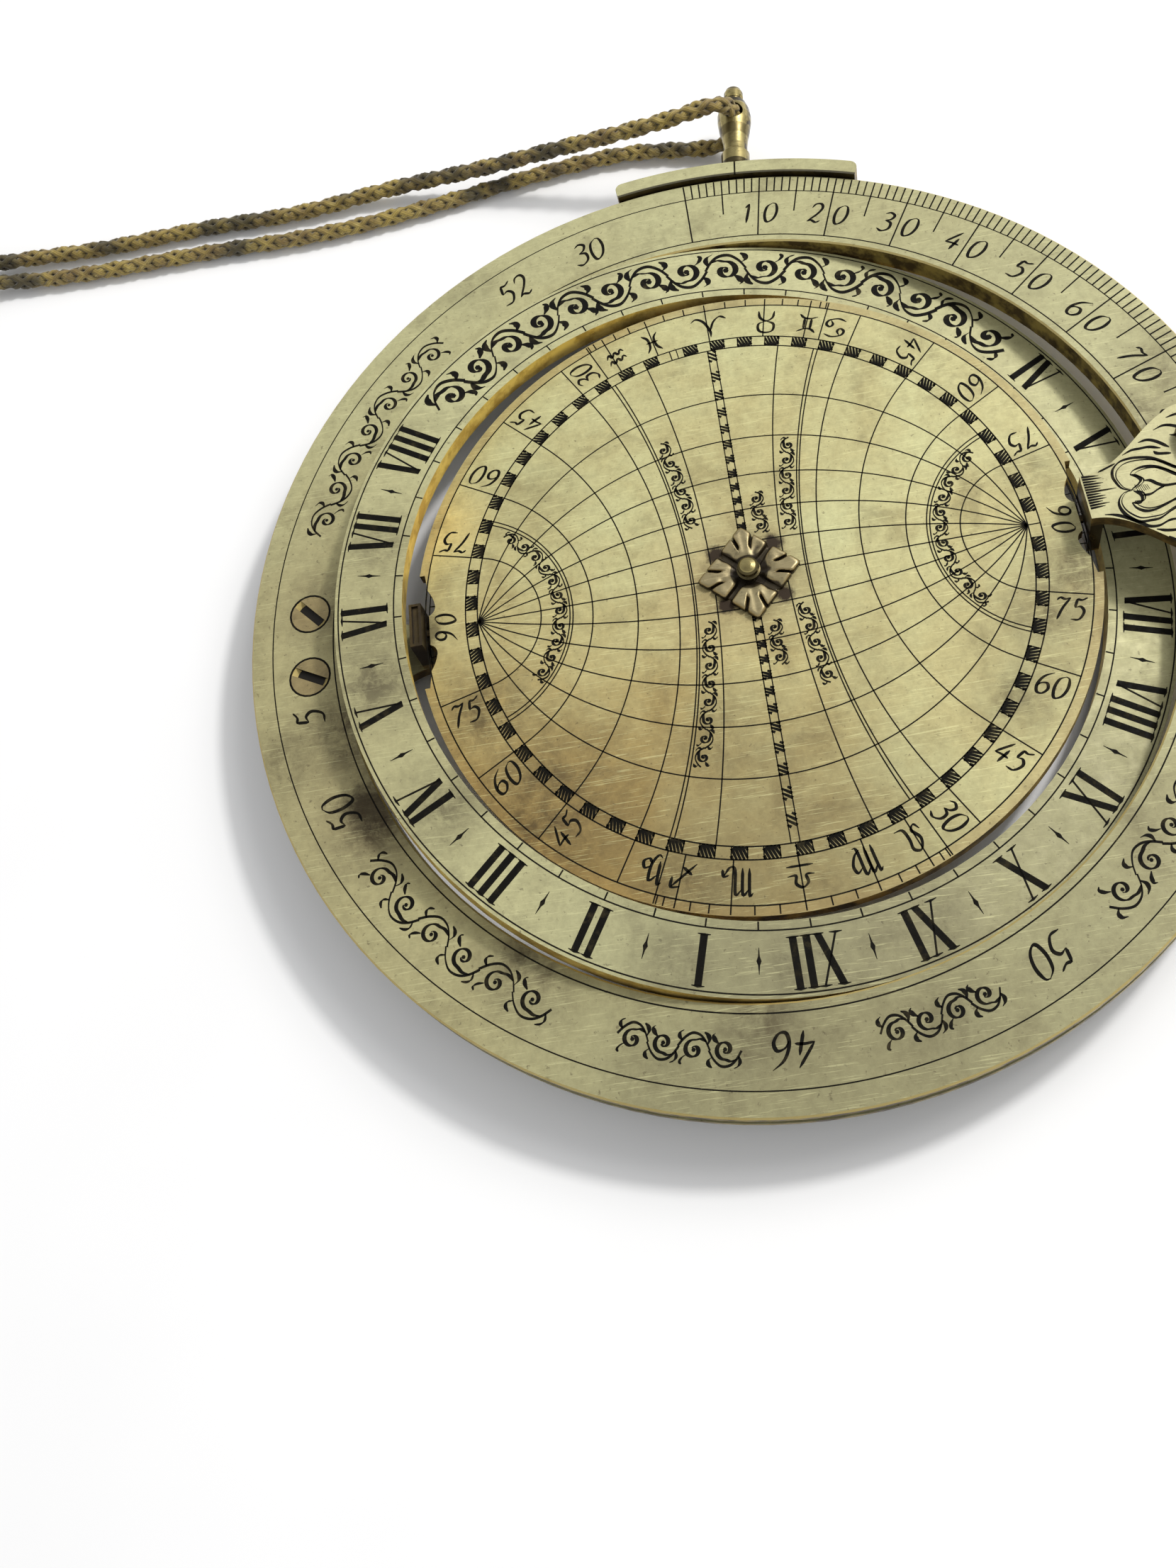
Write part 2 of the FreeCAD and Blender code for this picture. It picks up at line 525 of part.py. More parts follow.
def cord_tube(name, route):
    """Straight runs joined by tangent arcs, each as large as its two runs allow."""
    points = [V(*p) for p in route]
    edges, here, radii = [], points[0], []
    for before, corner, after in zip(points, points[1:], points[2:]):
        into, out = corner - before, after - corner
        shorter = min(into.Length, out.Length)
        turn = into.getAngle(out)
        cut_back = 0.45 * shorter
        radii.append(round(cut_back / math.tan(turn / 2), 1))
        into.normalize()
        out.normalize()
        start, end = corner - into * cut_back, corner + out * cut_back
        inward = out - into
        inward.normalize()
        radius = cut_back / math.tan(turn / 2)
        middle = corner + inward * (radius / math.cos(turn / 2) - radius)
        edges += [Part.LineSegment(here, start).toShape(), Part.Arc(start, middle, end).toShape()]
        here = end
    edges.append(Part.LineSegment(here, points[-1]).toShape())
    path = Part.Wire(edges)
    section = Part.Wire(Part.Circle(points[0], points[1] - points[0], CORD_D / 2).toShape())
    tube = path.makePipeShell([section], True, False)
    expected = math.pi * (CORD_D / 2) ** 2 * path.Length
    print(name, "length", round(path.Length, 1), "radii", radii)
    print(name, "volume share", round(tube.Volume / expected, 3))
    return tube


def cord_knot():
    """The overhand knot that closes the loop: its outer shape, and the two tails past it."""
    knot = turned([(0, -7.4), (2.6, -6.6), (4.1, -4.4), (4.4, -1.0), (4.4, 1.6), (3.9, 4.8), (2.4, 6.8),
                   (0, 7.4)], V(-140.2, 93.0, 4.4), X_AXIS)
    for turn, reach in ((12, 8.0), (-14, 6.5)):
        direction = V(-math.cos(math.radians(turn)), math.sin(math.radians(turn)), -0.12)
        knot = knot.fuse(cylinder(CORD_D / 2, V(-144.3, 93.0 + turn / 10, 3.4), direction, reach))
    return knot


# ---- the pieces ---------------------------------------------------------------------------------
def main():
    os.makedirs("parts", exist_ok=True)
    pieces = {
        "meridian_ring": meridian_ring(),
        "hour_ring": hour_ring(),
        "hour_ring_pivots": hour_ring_pivots(),
        "planisphere_plate": planisphere_plate(),
        "polar_pivots": polar_pivots(),
        "north_bracket": north_bracket(),
        "south_bracket": turned_over(north_bracket()),
        "north_bracket_screws": bracket_screws((35, -10)),
        "south_bracket_screws": turned_over(bracket_screws((47, 28))),
        "north_bracket_nuts": bracket_nuts(),
        "south_bracket_nuts": turned_over(bracket_nuts()),
        "centre_pin": centre_pin(),
        "rosette_washer": rosette_washer(),
        "spring_washer": spring_washer(),
        "alidade_rule": alidade_rule(),
        "sight_vane_upper": sight_vane(1),
        "sight_vane_lower": sight_vane(-1),
        "nut_washer": nut_washer(),
        "thumb_nut": thumb_nut(),
        "suspension_slider": suspension_slider(),
        "slider_gib": slider_gib(),
        "slider_screws": slider_screws(),
        "finial": finial(),
        "finial_burr": finial_burr(),
        "cord_upper": cord_tube("cord_upper", UPPER_ROUTE),
        "cord_lower": cord_tube("cord_lower", LOWER_ROUTE),
        "cord_knot": cord_knot(),
    }
    for name, shape in pieces.items():
        save(name, shape)


main()
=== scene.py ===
"""Universal ring dial with an astrolabe plate: engraving, finishes, cord, light and camera.

Lengths are millimetres in the part's frame unless a name ends in _M, and MM turns them into metres.
"""
import bpy
import json
import math
import random
from mathutils import Matrix, Quaternion, Vector


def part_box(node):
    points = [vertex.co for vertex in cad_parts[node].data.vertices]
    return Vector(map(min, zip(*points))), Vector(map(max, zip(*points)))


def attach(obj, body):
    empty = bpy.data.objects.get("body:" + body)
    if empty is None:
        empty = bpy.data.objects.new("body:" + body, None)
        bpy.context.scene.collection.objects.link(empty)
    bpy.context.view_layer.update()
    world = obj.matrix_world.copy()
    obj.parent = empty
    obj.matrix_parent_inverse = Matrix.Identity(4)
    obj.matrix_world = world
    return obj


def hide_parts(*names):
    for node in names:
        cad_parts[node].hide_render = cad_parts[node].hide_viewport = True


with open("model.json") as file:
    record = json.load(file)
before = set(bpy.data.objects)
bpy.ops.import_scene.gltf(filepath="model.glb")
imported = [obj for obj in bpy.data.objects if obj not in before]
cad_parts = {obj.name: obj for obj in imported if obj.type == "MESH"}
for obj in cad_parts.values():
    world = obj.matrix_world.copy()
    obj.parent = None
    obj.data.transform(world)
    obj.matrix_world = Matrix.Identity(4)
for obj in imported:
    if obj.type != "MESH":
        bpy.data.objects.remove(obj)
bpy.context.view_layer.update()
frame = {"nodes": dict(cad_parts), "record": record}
MM = 0.001


# ---- sizes ----------------------------------------------------------------------------------------
def low(node):
    """The least corner of a CAD node's box."""
    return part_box(node)[0] / MM


def high(node):
    """The greatest corner of a CAD node's box."""
    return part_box(node)[1] / MM


RING_TOP, RING_BOTTOM = high("meridian_ring").z, low("meridian_ring").z
RING_R = high("meridian_ring").x
PIVOT_Z = (RING_TOP + RING_BOTTOM) / 2
PLATE_TOP, PLATE_BOTTOM = high("planisphere_plate").z, low("planisphere_plate").z
BRACKET_TOP, BRACKET_BOTTOM = high("north_bracket").z, low("south_bracket").z

# Meridian ring: engraved circles and the reach of the latitude scale's lines.
SCALE_R = 71.7
FIVES_R = 67.4
RING_INNER_LINE = 62.45
NUMBER_R = 67.1
NUMBER_HEIGHT = 4.0
NUMBER_HALF_GAP_DEG = 1.75
ORNAMENT_R = 67.0

# Hour ring: it lies a few degrees open on its pivots.
HOUR_OPEN_DEG = 5.9
HOUR_THICK = 3.4
HOUR_OUTER_LINE = 60.3
HOUR_INNER_LINE = 52.2
HOUR_INNER_R = 51.0
HOUR_TEXT_IN, HOUR_TEXT_OUT = 53.1, 59.7
HOUR_DEG, NOON_DEG = 15, 270
LOZENGE_R = 56.1
FRIEZE_DEG = (141.0, 36.5)

# Astrolabe plate: the projection of the sphere, its limb and the zodiac scales.
LIMB_R = 48.6
LIMB_TEXT_R = 45.5
PLATE_R = 50.0
CHECK_OUT, CHECK_IN = 42.5, 40.7
SPHERE_R = 40.6
TROPIC = 23.5
BAND_HALF = 0.6
CELL_DEG = 3
OPEN_CELLS = (32, 33)
BACK_SCALE_R = 46.6

# Suspension: the direction of the slider, and the finial's cross hole.
SLIDER_DEG = 83.13
HOLE_R = 90.15

# Screw heads let into the ring's faces, and the slider's faces.
SCREW_R, SCREW_HEAD_R = 66.2, 2.9
SCREW_DEG = (175.0, 184.0)
SLIDER_IN, SLIDER_OUT = 75.2, 78.0

# The square flower over the plate.
ROSETTE_HALF_DIAGONAL = 7.7
ROSETTE_TURN_DEG = 2.0

# The length of one degree on a circle of radius 1.
DEGREE_ARC = 0.0175

# Engraved inlays stand this much over the metal and reach this far into it.
INK_OVER, INK_UNDER = 0.015, 0.06

# Widths of the engraver's lines, and the thin and thick strokes of the numbers and the small scrolls.
BORDER_LINE = 0.20
DEGREE_LINE = 0.24
GRID_LINE = 0.19
CELL_LINE = 0.18
BACK_LINE = 0.15
DOUBLE_LINE_HALF_GAP = 0.45
RING_PEN = (0.26, 0.50)
LIMB_PEN = (0.22, 0.46)
SMALL_SCROLL_PEN = (0.16, 0.42)


# ---- small helpers --------------------------------------------------------------------------------
def polar(radius, degrees):
    """A point of the instrument's plane, counted from +X."""
    angle = math.radians(degrees)
    return Vector((radius * math.cos(angle), radius * math.sin(angle)))


def smooth(points, steps=6, closed=False):
    """A Catmull-Rom line through given points."""
    pts = [Vector(p) for p in points]
    if closed:
        pts = [pts[-1]] + pts + pts[:2]
    else:
        pts = [pts[0] * 2 - pts[1]] + pts + [pts[-1] * 2 - pts[-2]]
    line = []
    for p0, p1, p2, p3 in zip(pts, pts[1:], pts[2:], pts[3:]):
        for step in range(steps):
            t = step / steps
            line.append(0.5 * ((2 * p1) + (p2 - p0) * t + (2 * p0 - 5 * p1 + 4 * p2 - p3) * t * t
                               + (3 * p1 - 3 * p2 + p3 - p0) * t ** 3))
    line.append(pts[-2])
    return line


def add_piece(name, points, faces, material, body, shade_smooth=False):
    """A mesh piece from points in metres, which rides on a body."""
    mesh = bpy.data.meshes.new(name)
    mesh.from_pydata([tuple(p) for p in points], [], faces)
    mesh.validate()
    piece = bpy.data.objects.new(name, mesh)
    bpy.context.scene.collection.objects.link(piece)
    mesh.materials.append(material)
    if shade_smooth:
        mesh.polygons.foreach_set("use_smooth", [True] * len(mesh.polygons))
    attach(piece, body)
    return piece


# ---- material nodes -------------------------------------------------------------------------------
class Nodes:
    """Short ways to build one node material."""

    def __init__(self, name):
        self.material = bpy.data.materials.new(name)
        self.material.use_nodes = True
        self.tree = self.material.node_tree
        self.tree.nodes.clear()
        self.shader = self.tree.nodes.new("ShaderNodeBsdfPrincipled")
        output = self.tree.nodes.new("ShaderNodeOutputMaterial")
        self.link(self.shader.outputs["BSDF"], output.inputs["Surface"])
        self.coords = self.tree.nodes.new("ShaderNodeTexCoord")

    def link(self, source, socket):
        self.tree.links.new(source, socket)

    def feed(self, socket, value):
        """Links a socket's output, or sets a plain number or colour."""
        if isinstance(value, bpy.types.NodeSocket):
            self.link(value, socket)
        elif hasattr(value, "__len__") and len(value) == 3 and socket.type == "RGBA":
            socket.default_value = (*value, 1.0)
        else:
            socket.default_value = value

    def mapped(self, scale=(1, 1, 1), turn_deg=0.0, place=(0, 0, 0)):
        node = self.tree.nodes.new("ShaderNodeMapping")
        self.link(self.coords.outputs["Object"], node.inputs["Vector"])
        node.inputs["Scale"].default_value = scale
        node.inputs["Rotation"].default_value = (0, 0, math.radians(turn_deg))
        node.inputs["Location"].default_value = place
        return node.outputs["Vector"]

    def noise(self, size_mm, detail=4.0, rough=0.55, vector=None, distortion=0.0):
        """Noise whose features are about size_mm across."""
        node = self.tree.nodes.new("ShaderNodeTexNoise")
        self.link(vector or self.coords.outputs["Object"], node.inputs["Vector"])
        node.inputs["Scale"].default_value = 1.0 / (size_mm * MM)
        node.inputs["Detail"].default_value = detail
        node.inputs["Roughness"].default_value = rough
        node.inputs["Distortion"].default_value = distortion
        return node.outputs["Fac"]

    def span(self, value, from_low, from_high, to_low=0.0, to_high=1.0):
        node = self.tree.nodes.new("ShaderNodeMapRange")
        self.feed(node.inputs["Value"], value)
        for socket, number in zip(("From Min", "From Max", "To Min", "To Max"),
                                  (from_low, from_high, to_low, to_high)):
            node.inputs[socket].default_value = number
        return node.outputs["Result"]

    def math(self, operation, a, b=0.0, clamp=False):
        node = self.tree.nodes.new("ShaderNodeMath")
        node.operation = operation
        node.use_clamp = clamp
        self.feed(node.inputs[0], a)
        self.feed(node.inputs[1], b)
        return node.outputs[0]

    def mix(self, factor, a, b, blend="MIX"):
        node = self.tree.nodes.new("ShaderNodeMix")
        node.data_type = "RGBA"
        node.blend_type = blend
        self.feed(node.inputs[0], factor)
        self.feed(node.inputs[6], a)
        self.feed(node.inputs[7], b)
        return node.outputs[2]

    def near(self, place_mm, inner_mm, outer_mm):
        """1 within inner_mm of a place, falling to 0 at outer_mm."""
        node = self.tree.nodes.new("ShaderNodeVectorMath")
        node.operation = "DISTANCE"
        self.link(self.coords.outputs["Object"], node.inputs[0])
        node.inputs[1].default_value = [c * MM for c in place_mm]
        return self.span(node.outputs["Value"], inner_mm * MM, outer_mm * MM, 1.0, 0.0)

    def axis_of(self, source, axis):
        """One axis of a vector that the texture coordinates give."""
        split = self.tree.nodes.new("ShaderNodeSeparateXYZ")
        self.link(self.coords.outputs[source], split.inputs[0])
        return split.outputs[axis]

    def upright(self):
        """The normal's Z: 1 on a face that looks up, 0 on a wall, -1 on an underside."""
        return self.axis_of("Normal", "Z")

    def place(self, axis):
        return self.axis_of("Object", axis)

    def radius(self):
        """Distance from the instrument's own axis."""
        x, y = self.place("X"), self.place("Y")
        square = self.math("ADD", self.math("MULTIPLY", x, x), self.math("MULTIPLY", y, y))
        return self.math("SQRT", square)

    def band(self, value, start_mm, end_mm, soft_mm):
        """1 where a length lies between two limits."""
        rise = self.span(value, (start_mm - soft_mm) * MM, start_mm * MM)
        fall = self.span(value, end_mm * MM, (end_mm + soft_mm) * MM, 1.0, 0.0)
        return self.math("MULTIPLY", rise, fall)

    def banded(self, colour, value, bands, soft_mm=0.12):
        """Colour with other shades laid over it, each where a length lies between two limits."""
        for start, end, shade, strength in bands:
            share = self.math("MULTIPLY", self.band(value, start, end, soft_mm), strength)
            colour = self.mix(share, colour, shade)
        return colour

    def scratches(self, turn_deg, length_mm=6.0, width_mm=0.16, keep=0.665):
        """Fine, long scratches in one direction."""
        stretched = self.mapped((1.0, length_mm / width_mm, 1.0), turn_deg, (turn_deg, 0, 0))
        line = self.noise(length_mm, 2.0, 0.5, stretched, 0.4)
        return self.span(line, keep, keep + 0.03)

    def bump(self, parts, strength=0.3, distance_mm=0.05):
        """Adds (height, weight) pairs into one bump."""
        total = None
        for height, weight in parts:
            scaled = self.math("MULTIPLY", height, weight)
            total = scaled if total is None else self.math("ADD", total, scaled)
        node = self.tree.nodes.new("ShaderNodeBump")
        node.inputs["Strength"].default_value = strength
        node.inputs["Distance"].default_value = distance_mm * MM
        self.link(total, node.inputs["Height"])
        self.link(node.outputs["Normal"], self.shader.inputs["Normal"])


def ground_tone(n, tone, warm, warmth, tints_and_painted_light, rims):
    """The clean metal: drifting between two tones, browner near one place, tinted in others; some tints are
    the metal's own colour, some painted shade, one a painted reflection.
    """
    drift = n.math("MULTIPLY", n.span(n.noise(20, 5.0, 0.62), 0.36, 0.64), 0.40)
    toward = n.math("MULTIPLY", n.near(*warmth), 0.9)
    colour = n.mix(n.math("ADD", drift, toward, clamp=True), tone, warm)
    for place, inner, outer, amount, shade in tints_and_painted_light:
        colour = n.mix(n.math("MULTIPLY", n.near(place, inner, outer), amount), colour, shade)
    return n.banded(colour, n.radius(), rims)


def handling(n, colour, warm, dark):
    """Brown clouds, fine mottling and faint brushing over the whole surface."""
    browned = n.span(n.noise(6.5, 7.0, 0.70, distortion=0.5), 0.50, 0.72)
    colour = n.mix(n.math("MULTIPLY", browned, 0.30), colour, [c * 0.6 for c in warm])
    mottle = n.span(n.noise(1.5, 8.0, 0.82), 0.40, 0.66)
    colour = n.mix(n.math("MULTIPLY", mottle, 0.26), colour, dark)
    brushed = n.span(n.noise(14.0, 3.0, 0.6, n.mapped((1.0, 60.0, 1.0), 32)), 0.36, 0.64, -1.0, 1.0)
    return n.mix(n.math("MULTIPLY", n.math("ABSOLUTE", brushed), 0.03), colour, dark)


def soiling(n, stains, soil_amount):
    """How far the metal is tarnished: thin clouds everywhere, patches in the given places."""
    cloud = n.span(n.noise(10.0, 9.0, 0.68, distortion=0.4), 0.53, 0.72)
    soil = n.math("MULTIPLY", cloud, 0.42 * soil_amount)
    patchy = n.span(n.noise(4.5, 9.0, 0.76, distortion=0.35), 0.38, 0.60)
    for place, inner, outer, strength in stains:
        spot = n.math("MULTIPLY", n.near(place, inner, outer), strength)
        patch = n.math("MULTIPLY", spot, n.math("ADD", n.math("MULTIPLY", patchy, 0.8), 0.2))
        soil = n.math("MAXIMUM", soil, patch)
    return soil


def black_blots(n, colour, blots):
    """Ragged spots of near-black tarnish; beside the plate's rosette they are painted shade as well."""
    ragged = n.span(n.noise(1.8, 9.0, 0.85, distortion=0.6), 0.34, 0.60)
    for place, inner, outer, strength in blots:
        spot = n.math("MULTIPLY", n.near(place, inner, outer), 1.0 + strength)
        blot = n.math("SUBTRACT", spot, n.math("MULTIPLY", ragged, 0.9), clamp=True)
        colour = n.mix(n.math("MULTIPLY", blot, strength, clamp=True), colour, (0.026, 0.014, 0.004))
    return colour


def gold_walls(n, colour, level_share, wall, wall_dark, wall_mm):
    """Upright faces in their own tone, and a brighter edge where they meet the level ones, partly rubbed
    metal and partly a painted highlight.
    """
    wall_tone = n.mix(n.span(n.noise(wall_mm, 6.0, 0.62), 0.42, 0.58), wall, wall_dark)
    colour = n.mix(n.span(level_share, 0.50, 0.62, 1.0, 0.0), colour, wall_tone)
    edge = n.math("MULTIPLY", n.span(level_share, 0.55, 0.68), n.span(level_share, 0.80, 0.95, 1.0, 0.0))
    rubbed_edge_and_highlight = [min(1.0, c * 1.6) for c in wall]
    return n.mix(n.math("MULTIPLY", edge, 0.6), colour, rubbed_edge_and_highlight)


def black_slot_floors(n, colour):
    """Painted shade: dark floors in the screw slots, which lie a little below the ring's faces."""
    depth = n.math("ABSOLUTE", n.math("SUBTRACT", n.place("Z"), PIVOT_Z * MM))
    return n.mix(n.span(depth, 1.80 * MM, 1.95 * MM, 1.0, 0.0), colour, (0.012, 0.009, 0.005))


def brass(name, tone, warm, dark, wall=(0.52, 0.36, 0.10), wall_dark=(0.085, 0.055, 0.022), wall_mm=3.6,
          warmth=((0, 0, 8), 0, 1), tints_and_painted_light=(), rims=(), stains=(), blots=(), bands=(), height_bands=(),
          soil_amount=1.0, rough=0.50, metallic=0.22, black_slots=False):
    """Aged brass: drifting tone, mottling, pits, hand scratches, tarnish near given places, gold walls,
    and faces that look down darkened as painted shade.

    Places come as (place, full within, gone beyond, strength). warmth is where the metal turns browner;
    tints_and_painted_light carry a colour too, and some are painted shade, one a painted reflection;
    stains are patchy and dark, blots ragged and near black. rims and bands are (from, to, colour,
    strength) by radius, under and over the tarnish; height_bands go by height.
    """
    n = Nodes(name)
    colour = handling(n, ground_tone(n, tone, warm, warmth, tints_and_painted_light, rims), warm, dark)
    soil = soiling(n, stains, soil_amount)
    colour = n.mix(soil, colour, dark)
    pits = n.span(n.noise(0.7, 5.0, 0.64), 0.62, 0.69)
    colour = n.mix(n.math("MULTIPLY", pits, 0.55), colour, dark)
    scratch = n.math("MAXIMUM", n.scratches(24), n.math("MAXIMUM", n.scratches(-38), n.scratches(83)))
    bright = [min(1.0, c * 1.45) for c in tone]
    colour = n.mix(n.math("MULTIPLY", scratch, 0.30), colour, bright)
    colour = black_blots(n, colour, blots)
    upright = n.upright()
    level_share = n.math("ABSOLUTE", upright)
    colour = gold_walls(n, colour, level_share, wall, wall_dark, wall_mm)
    colour = n.banded(colour, n.radius(), bands)
    colour = n.banded(colour, n.place("Z"), height_bands)
    if black_slots:
        colour = black_slot_floors(n, colour)
    # Painted shade: faces that look down are darkened towards the dark tone.
    colour = n.mix(n.span(upright, -0.9, -0.5, 0.60, 0.0), colour, dark)
    n.link(colour, n.shader.inputs["Base Color"])
    n.link(n.span(level_share, 0.5, 0.75, max(0.75, metallic), metallic), n.shader.inputs["Metallic"])
    n.shader.inputs["Specular IOR Level"].default_value = 0.35
    roughness = n.span(n.noise(2.2, 5.0, 0.6), 0.3, 0.7, rough - 0.07, rough + 0.10)
    roughness = n.math("ADD", roughness, n.math("MULTIPLY", soil, 0.16))
    roughness = n.math("SUBTRACT", roughness, n.span(level_share, 0.5, 0.75, 0.16, 0.0))
    n.link(roughness, n.shader.inputs["Roughness"])
    grain = n.noise(0.30, 3.0, 0.6)
    n.bump([(grain, 0.42), (scratch, -0.35), (pits, -0.9), (n.noise(2.8, 3.0, 0.5), 0.8)], 0.25, 0.03)
    return n.material


def engraver_black():
    """The black filling of the engraved lines, brown where it has worn thin."""
    n = Nodes("engraving_black")
    worn = n.span(n.noise(1.6, 5.0, 0.65), 0.52, 0.72)
    faded = n.span(n.noise(14.0, 3.0, 0.6), 0.40, 0.62)
    amount = n.math("MULTIPLY", worn, n.math("ADD", n.math("MULTIPLY", faded, 0.35), 0.12))
    colour = n.mix(amount, (0.005, 0.0045, 0.003), (0.10, 0.080, 0.038))
    n.link(colour, n.shader.inputs["Base Color"])
    n.shader.inputs["Specular IOR Level"].default_value = 0.08
    n.link(n.span(n.noise(0.8), 0.3, 0.7, 0.55, 0.80), n.shader.inputs["Roughness"])
    n.bump([(n.noise(0.22, 3.0), 1.0)], 0.35, 0.03)
    return n.material


def silk(name):
    """Braided silk: gold and brown yarns with green-black worn patches and fine filaments."""
    n = Nodes(name)
    tint = n.span(n.noise(4.6, 4.0, 0.6), 0.38, 0.64)
    colour = n.mix(tint, (0.40, 0.295, 0.065), (0.20, 0.135, 0.038))
    sheen_patch = n.span(n.noise(1.7, 3.0, 0.6), 0.52, 0.70)
    colour = n.mix(n.math("MULTIPLY", sheen_patch, 0.5), colour, (0.58, 0.47, 0.16))
    soot = n.span(n.noise(15.0, 3.0, 0.55), 0.53, 0.62)
    colour = n.mix(n.math("MULTIPLY", soot, 0.85), colour, (0.022, 0.022, 0.010))
    wave = n.tree.nodes.new("ShaderNodeTexWave")
    wave.wave_type, wave.bands_direction = "BANDS", "Y"
    wave.inputs["Scale"].default_value = 3.2
    wave.inputs["Distortion"].default_value = 1.6
    wave.inputs["Detail"].default_value = 2.0
    n.link(n.coords.outputs["UV"], wave.inputs["Vector"])
    filament = wave.outputs["Fac"]
    colour = n.mix(n.math("MULTIPLY", filament, 0.45), colour, (0.07, 0.045, 0.016))
    # Painted shade: each strand is darkened on its flanks and its side towards the cord's core, all but its
    # outer crest.
    hollow = n.span(n.axis_of("UV", "Y"), 0.40, 0.98, 0.80, 0.0)
    colour = n.mix(hollow, colour, (0.030, 0.022, 0.010))
    n.link(colour, n.shader.inputs["Base Color"])
    n.shader.inputs["Roughness"].default_value = 0.62
    n.shader.inputs["Sheen Weight"].default_value = 0.25
    n.shader.inputs["Sheen Roughness"].default_value = 0.4
    n.bump([(filament, -0.7), (n.noise(0.25, 2.0), 0.8)], 0.6, 0.08)
    return n.material


def studio_floor():
    """Pale matt paper, very slightly uneven."""
    n = Nodes("pale_floor")
    colour = n.mix(n.span(n.noise(60, 3.0), 0.4, 0.6), (0.90, 0.90, 0.905), (0.915, 0.915, 0.92))
    n.link(colour, n.shader.inputs["Base Color"])
    n.shader.inputs["Roughness"].default_value = 0.75
    return n.material


# ---- engraving ------------------------------------------------------------------------------------
class Engraving:
    """Engraved strokes on one flat face, each a closed thin inlay, gathered in one mesh."""

    def __init__(self, face):
        self.face = face
        self.points, self.faces = [], []

    def stroke(self, path, width, closed=False):
        """A line along path; width is one number or one for each point."""
        path = [Vector(p) for p in path]
        count = len(path)
        widths = list(width) if hasattr(width, "__len__") else [width] * count
        first = len(self.points)
        for i, p in enumerate(path):
            before = path[i - 1] if i or closed else p
            after = path[(i + 1) % count] if i + 1 < count or closed else p
            along = (after - before).normalized()
            side = Vector((-along.y, along.x)) * max(widths[i], 0.03) / 2
            for edge, height in ((p + side, INK_OVER), (p - side, INK_OVER),
                                 (p - side, -INK_UNDER), (p + side, -INK_UNDER)):
                self.points.append(self.face @ Vector((edge.x, edge.y, height)))
        for i in range(count if closed else count - 1):
            a, b = first + 4 * i, first + 4 * ((i + 1) % count)
            for k in range(4):
                j = (k + 1) % 4
                self.faces.append((a + k, a + j, b + j, b + k))
        if not closed:
            last = first + 4 * (count - 1)
            self.faces.append((first + 3, first + 2, first + 1, first))
            self.faces.append((last, last + 1, last + 2, last + 3))

    def pen(self, path, thin, thick, nib_deg=35.0, taper=0.14):
        """A stroke of a broad nib: thick across the nib, thin along it, and fine at its ends."""
        path = [Vector(p) for p in path]
        if len(path) == 2:
            path = [path[0].lerp(path[1], share / 5) for share in range(6)]
        lengths = [0.0]
        for a, b in zip(path, path[1:]):
            lengths.append(lengths[-1] + (b - a).length)
        widths = []
        for i, at in enumerate(lengths):
            along = path[min(i + 1, len(path) - 1)] - path[max(i - 1, 0)]
            turn = math.atan2(along.y, along.x) - math.radians(nib_deg)
            body = thin + (thick - thin) * abs(math.sin(turn))
            share = at / max(lengths[-1], 1e-6)
            end = min(1.0, share / taper, (1.0 - share) / taper) if taper else 1.0
            widths.append(body * (0.3 + 0.7 * end))
        self.stroke(path, widths)

    def circle(self, radius, width, start=0.0, end=360.0, centre=(0.0, 0.0)):
        """A circle, or an arc of one between two angles in degrees."""
        steps = max(6, int(abs(end - start) * radius / 45))
        closed = abs(end - start) >= 360
        count = steps if closed else steps + 1
        middle = Vector(centre)
        path = [middle + polar(radius, start + (end - start) * i / steps) for i in range(count)]
        self.stroke(path, width, closed)

    def radial(self, degrees, inner, outer, width):
        self.stroke([polar(inner, degrees), polar(outer, degrees)], width)

    def hatched_cell(self, corner, lines, width, lean=0.45):
        """Slanting lines that fill the cell whose point at shares (across, along) corner gives."""
        for i in range(lines):
            start = -lean + (1.0 + lean) * (i + 0.5) / lines
            t0, t1 = 0.0, 1.0
            if start < 0:
                t0 = -start / lean
            if start + lean > 1:
                t1 = (1 - start) / lean
            if t1 - t0 > 0.12:
                self.stroke([corner(start + lean * t0, t0), corner(start + lean * t1, t1)],
                            [width * 1.15, width * 0.75])

    def glyph(self, strokes, centre, up_deg, height, thin, thick, lean=0.16):
        """Draws unit-high strokes, centred on a place, with their top towards up_deg."""
        xs = [x for line in strokes for x, _ in line]
        middle = (min(xs) + max(xs)) / 2
        up = polar(1, up_deg)
        right = Vector((up.y, -up.x))
        for line in strokes:
            placed = [Vector(centre) + right * (x - middle + (y - 0.5) * lean) * height
                      + up * (y - 0.5) * height for x, y in line]
            if len(placed) > 2:
                placed = smooth(placed, 5)
            self.pen(placed, thin, thick, up_deg - 90 + 25)

    def piece(self, name, body):
        return add_piece(name, self.points, self.faces, BLACK, body)


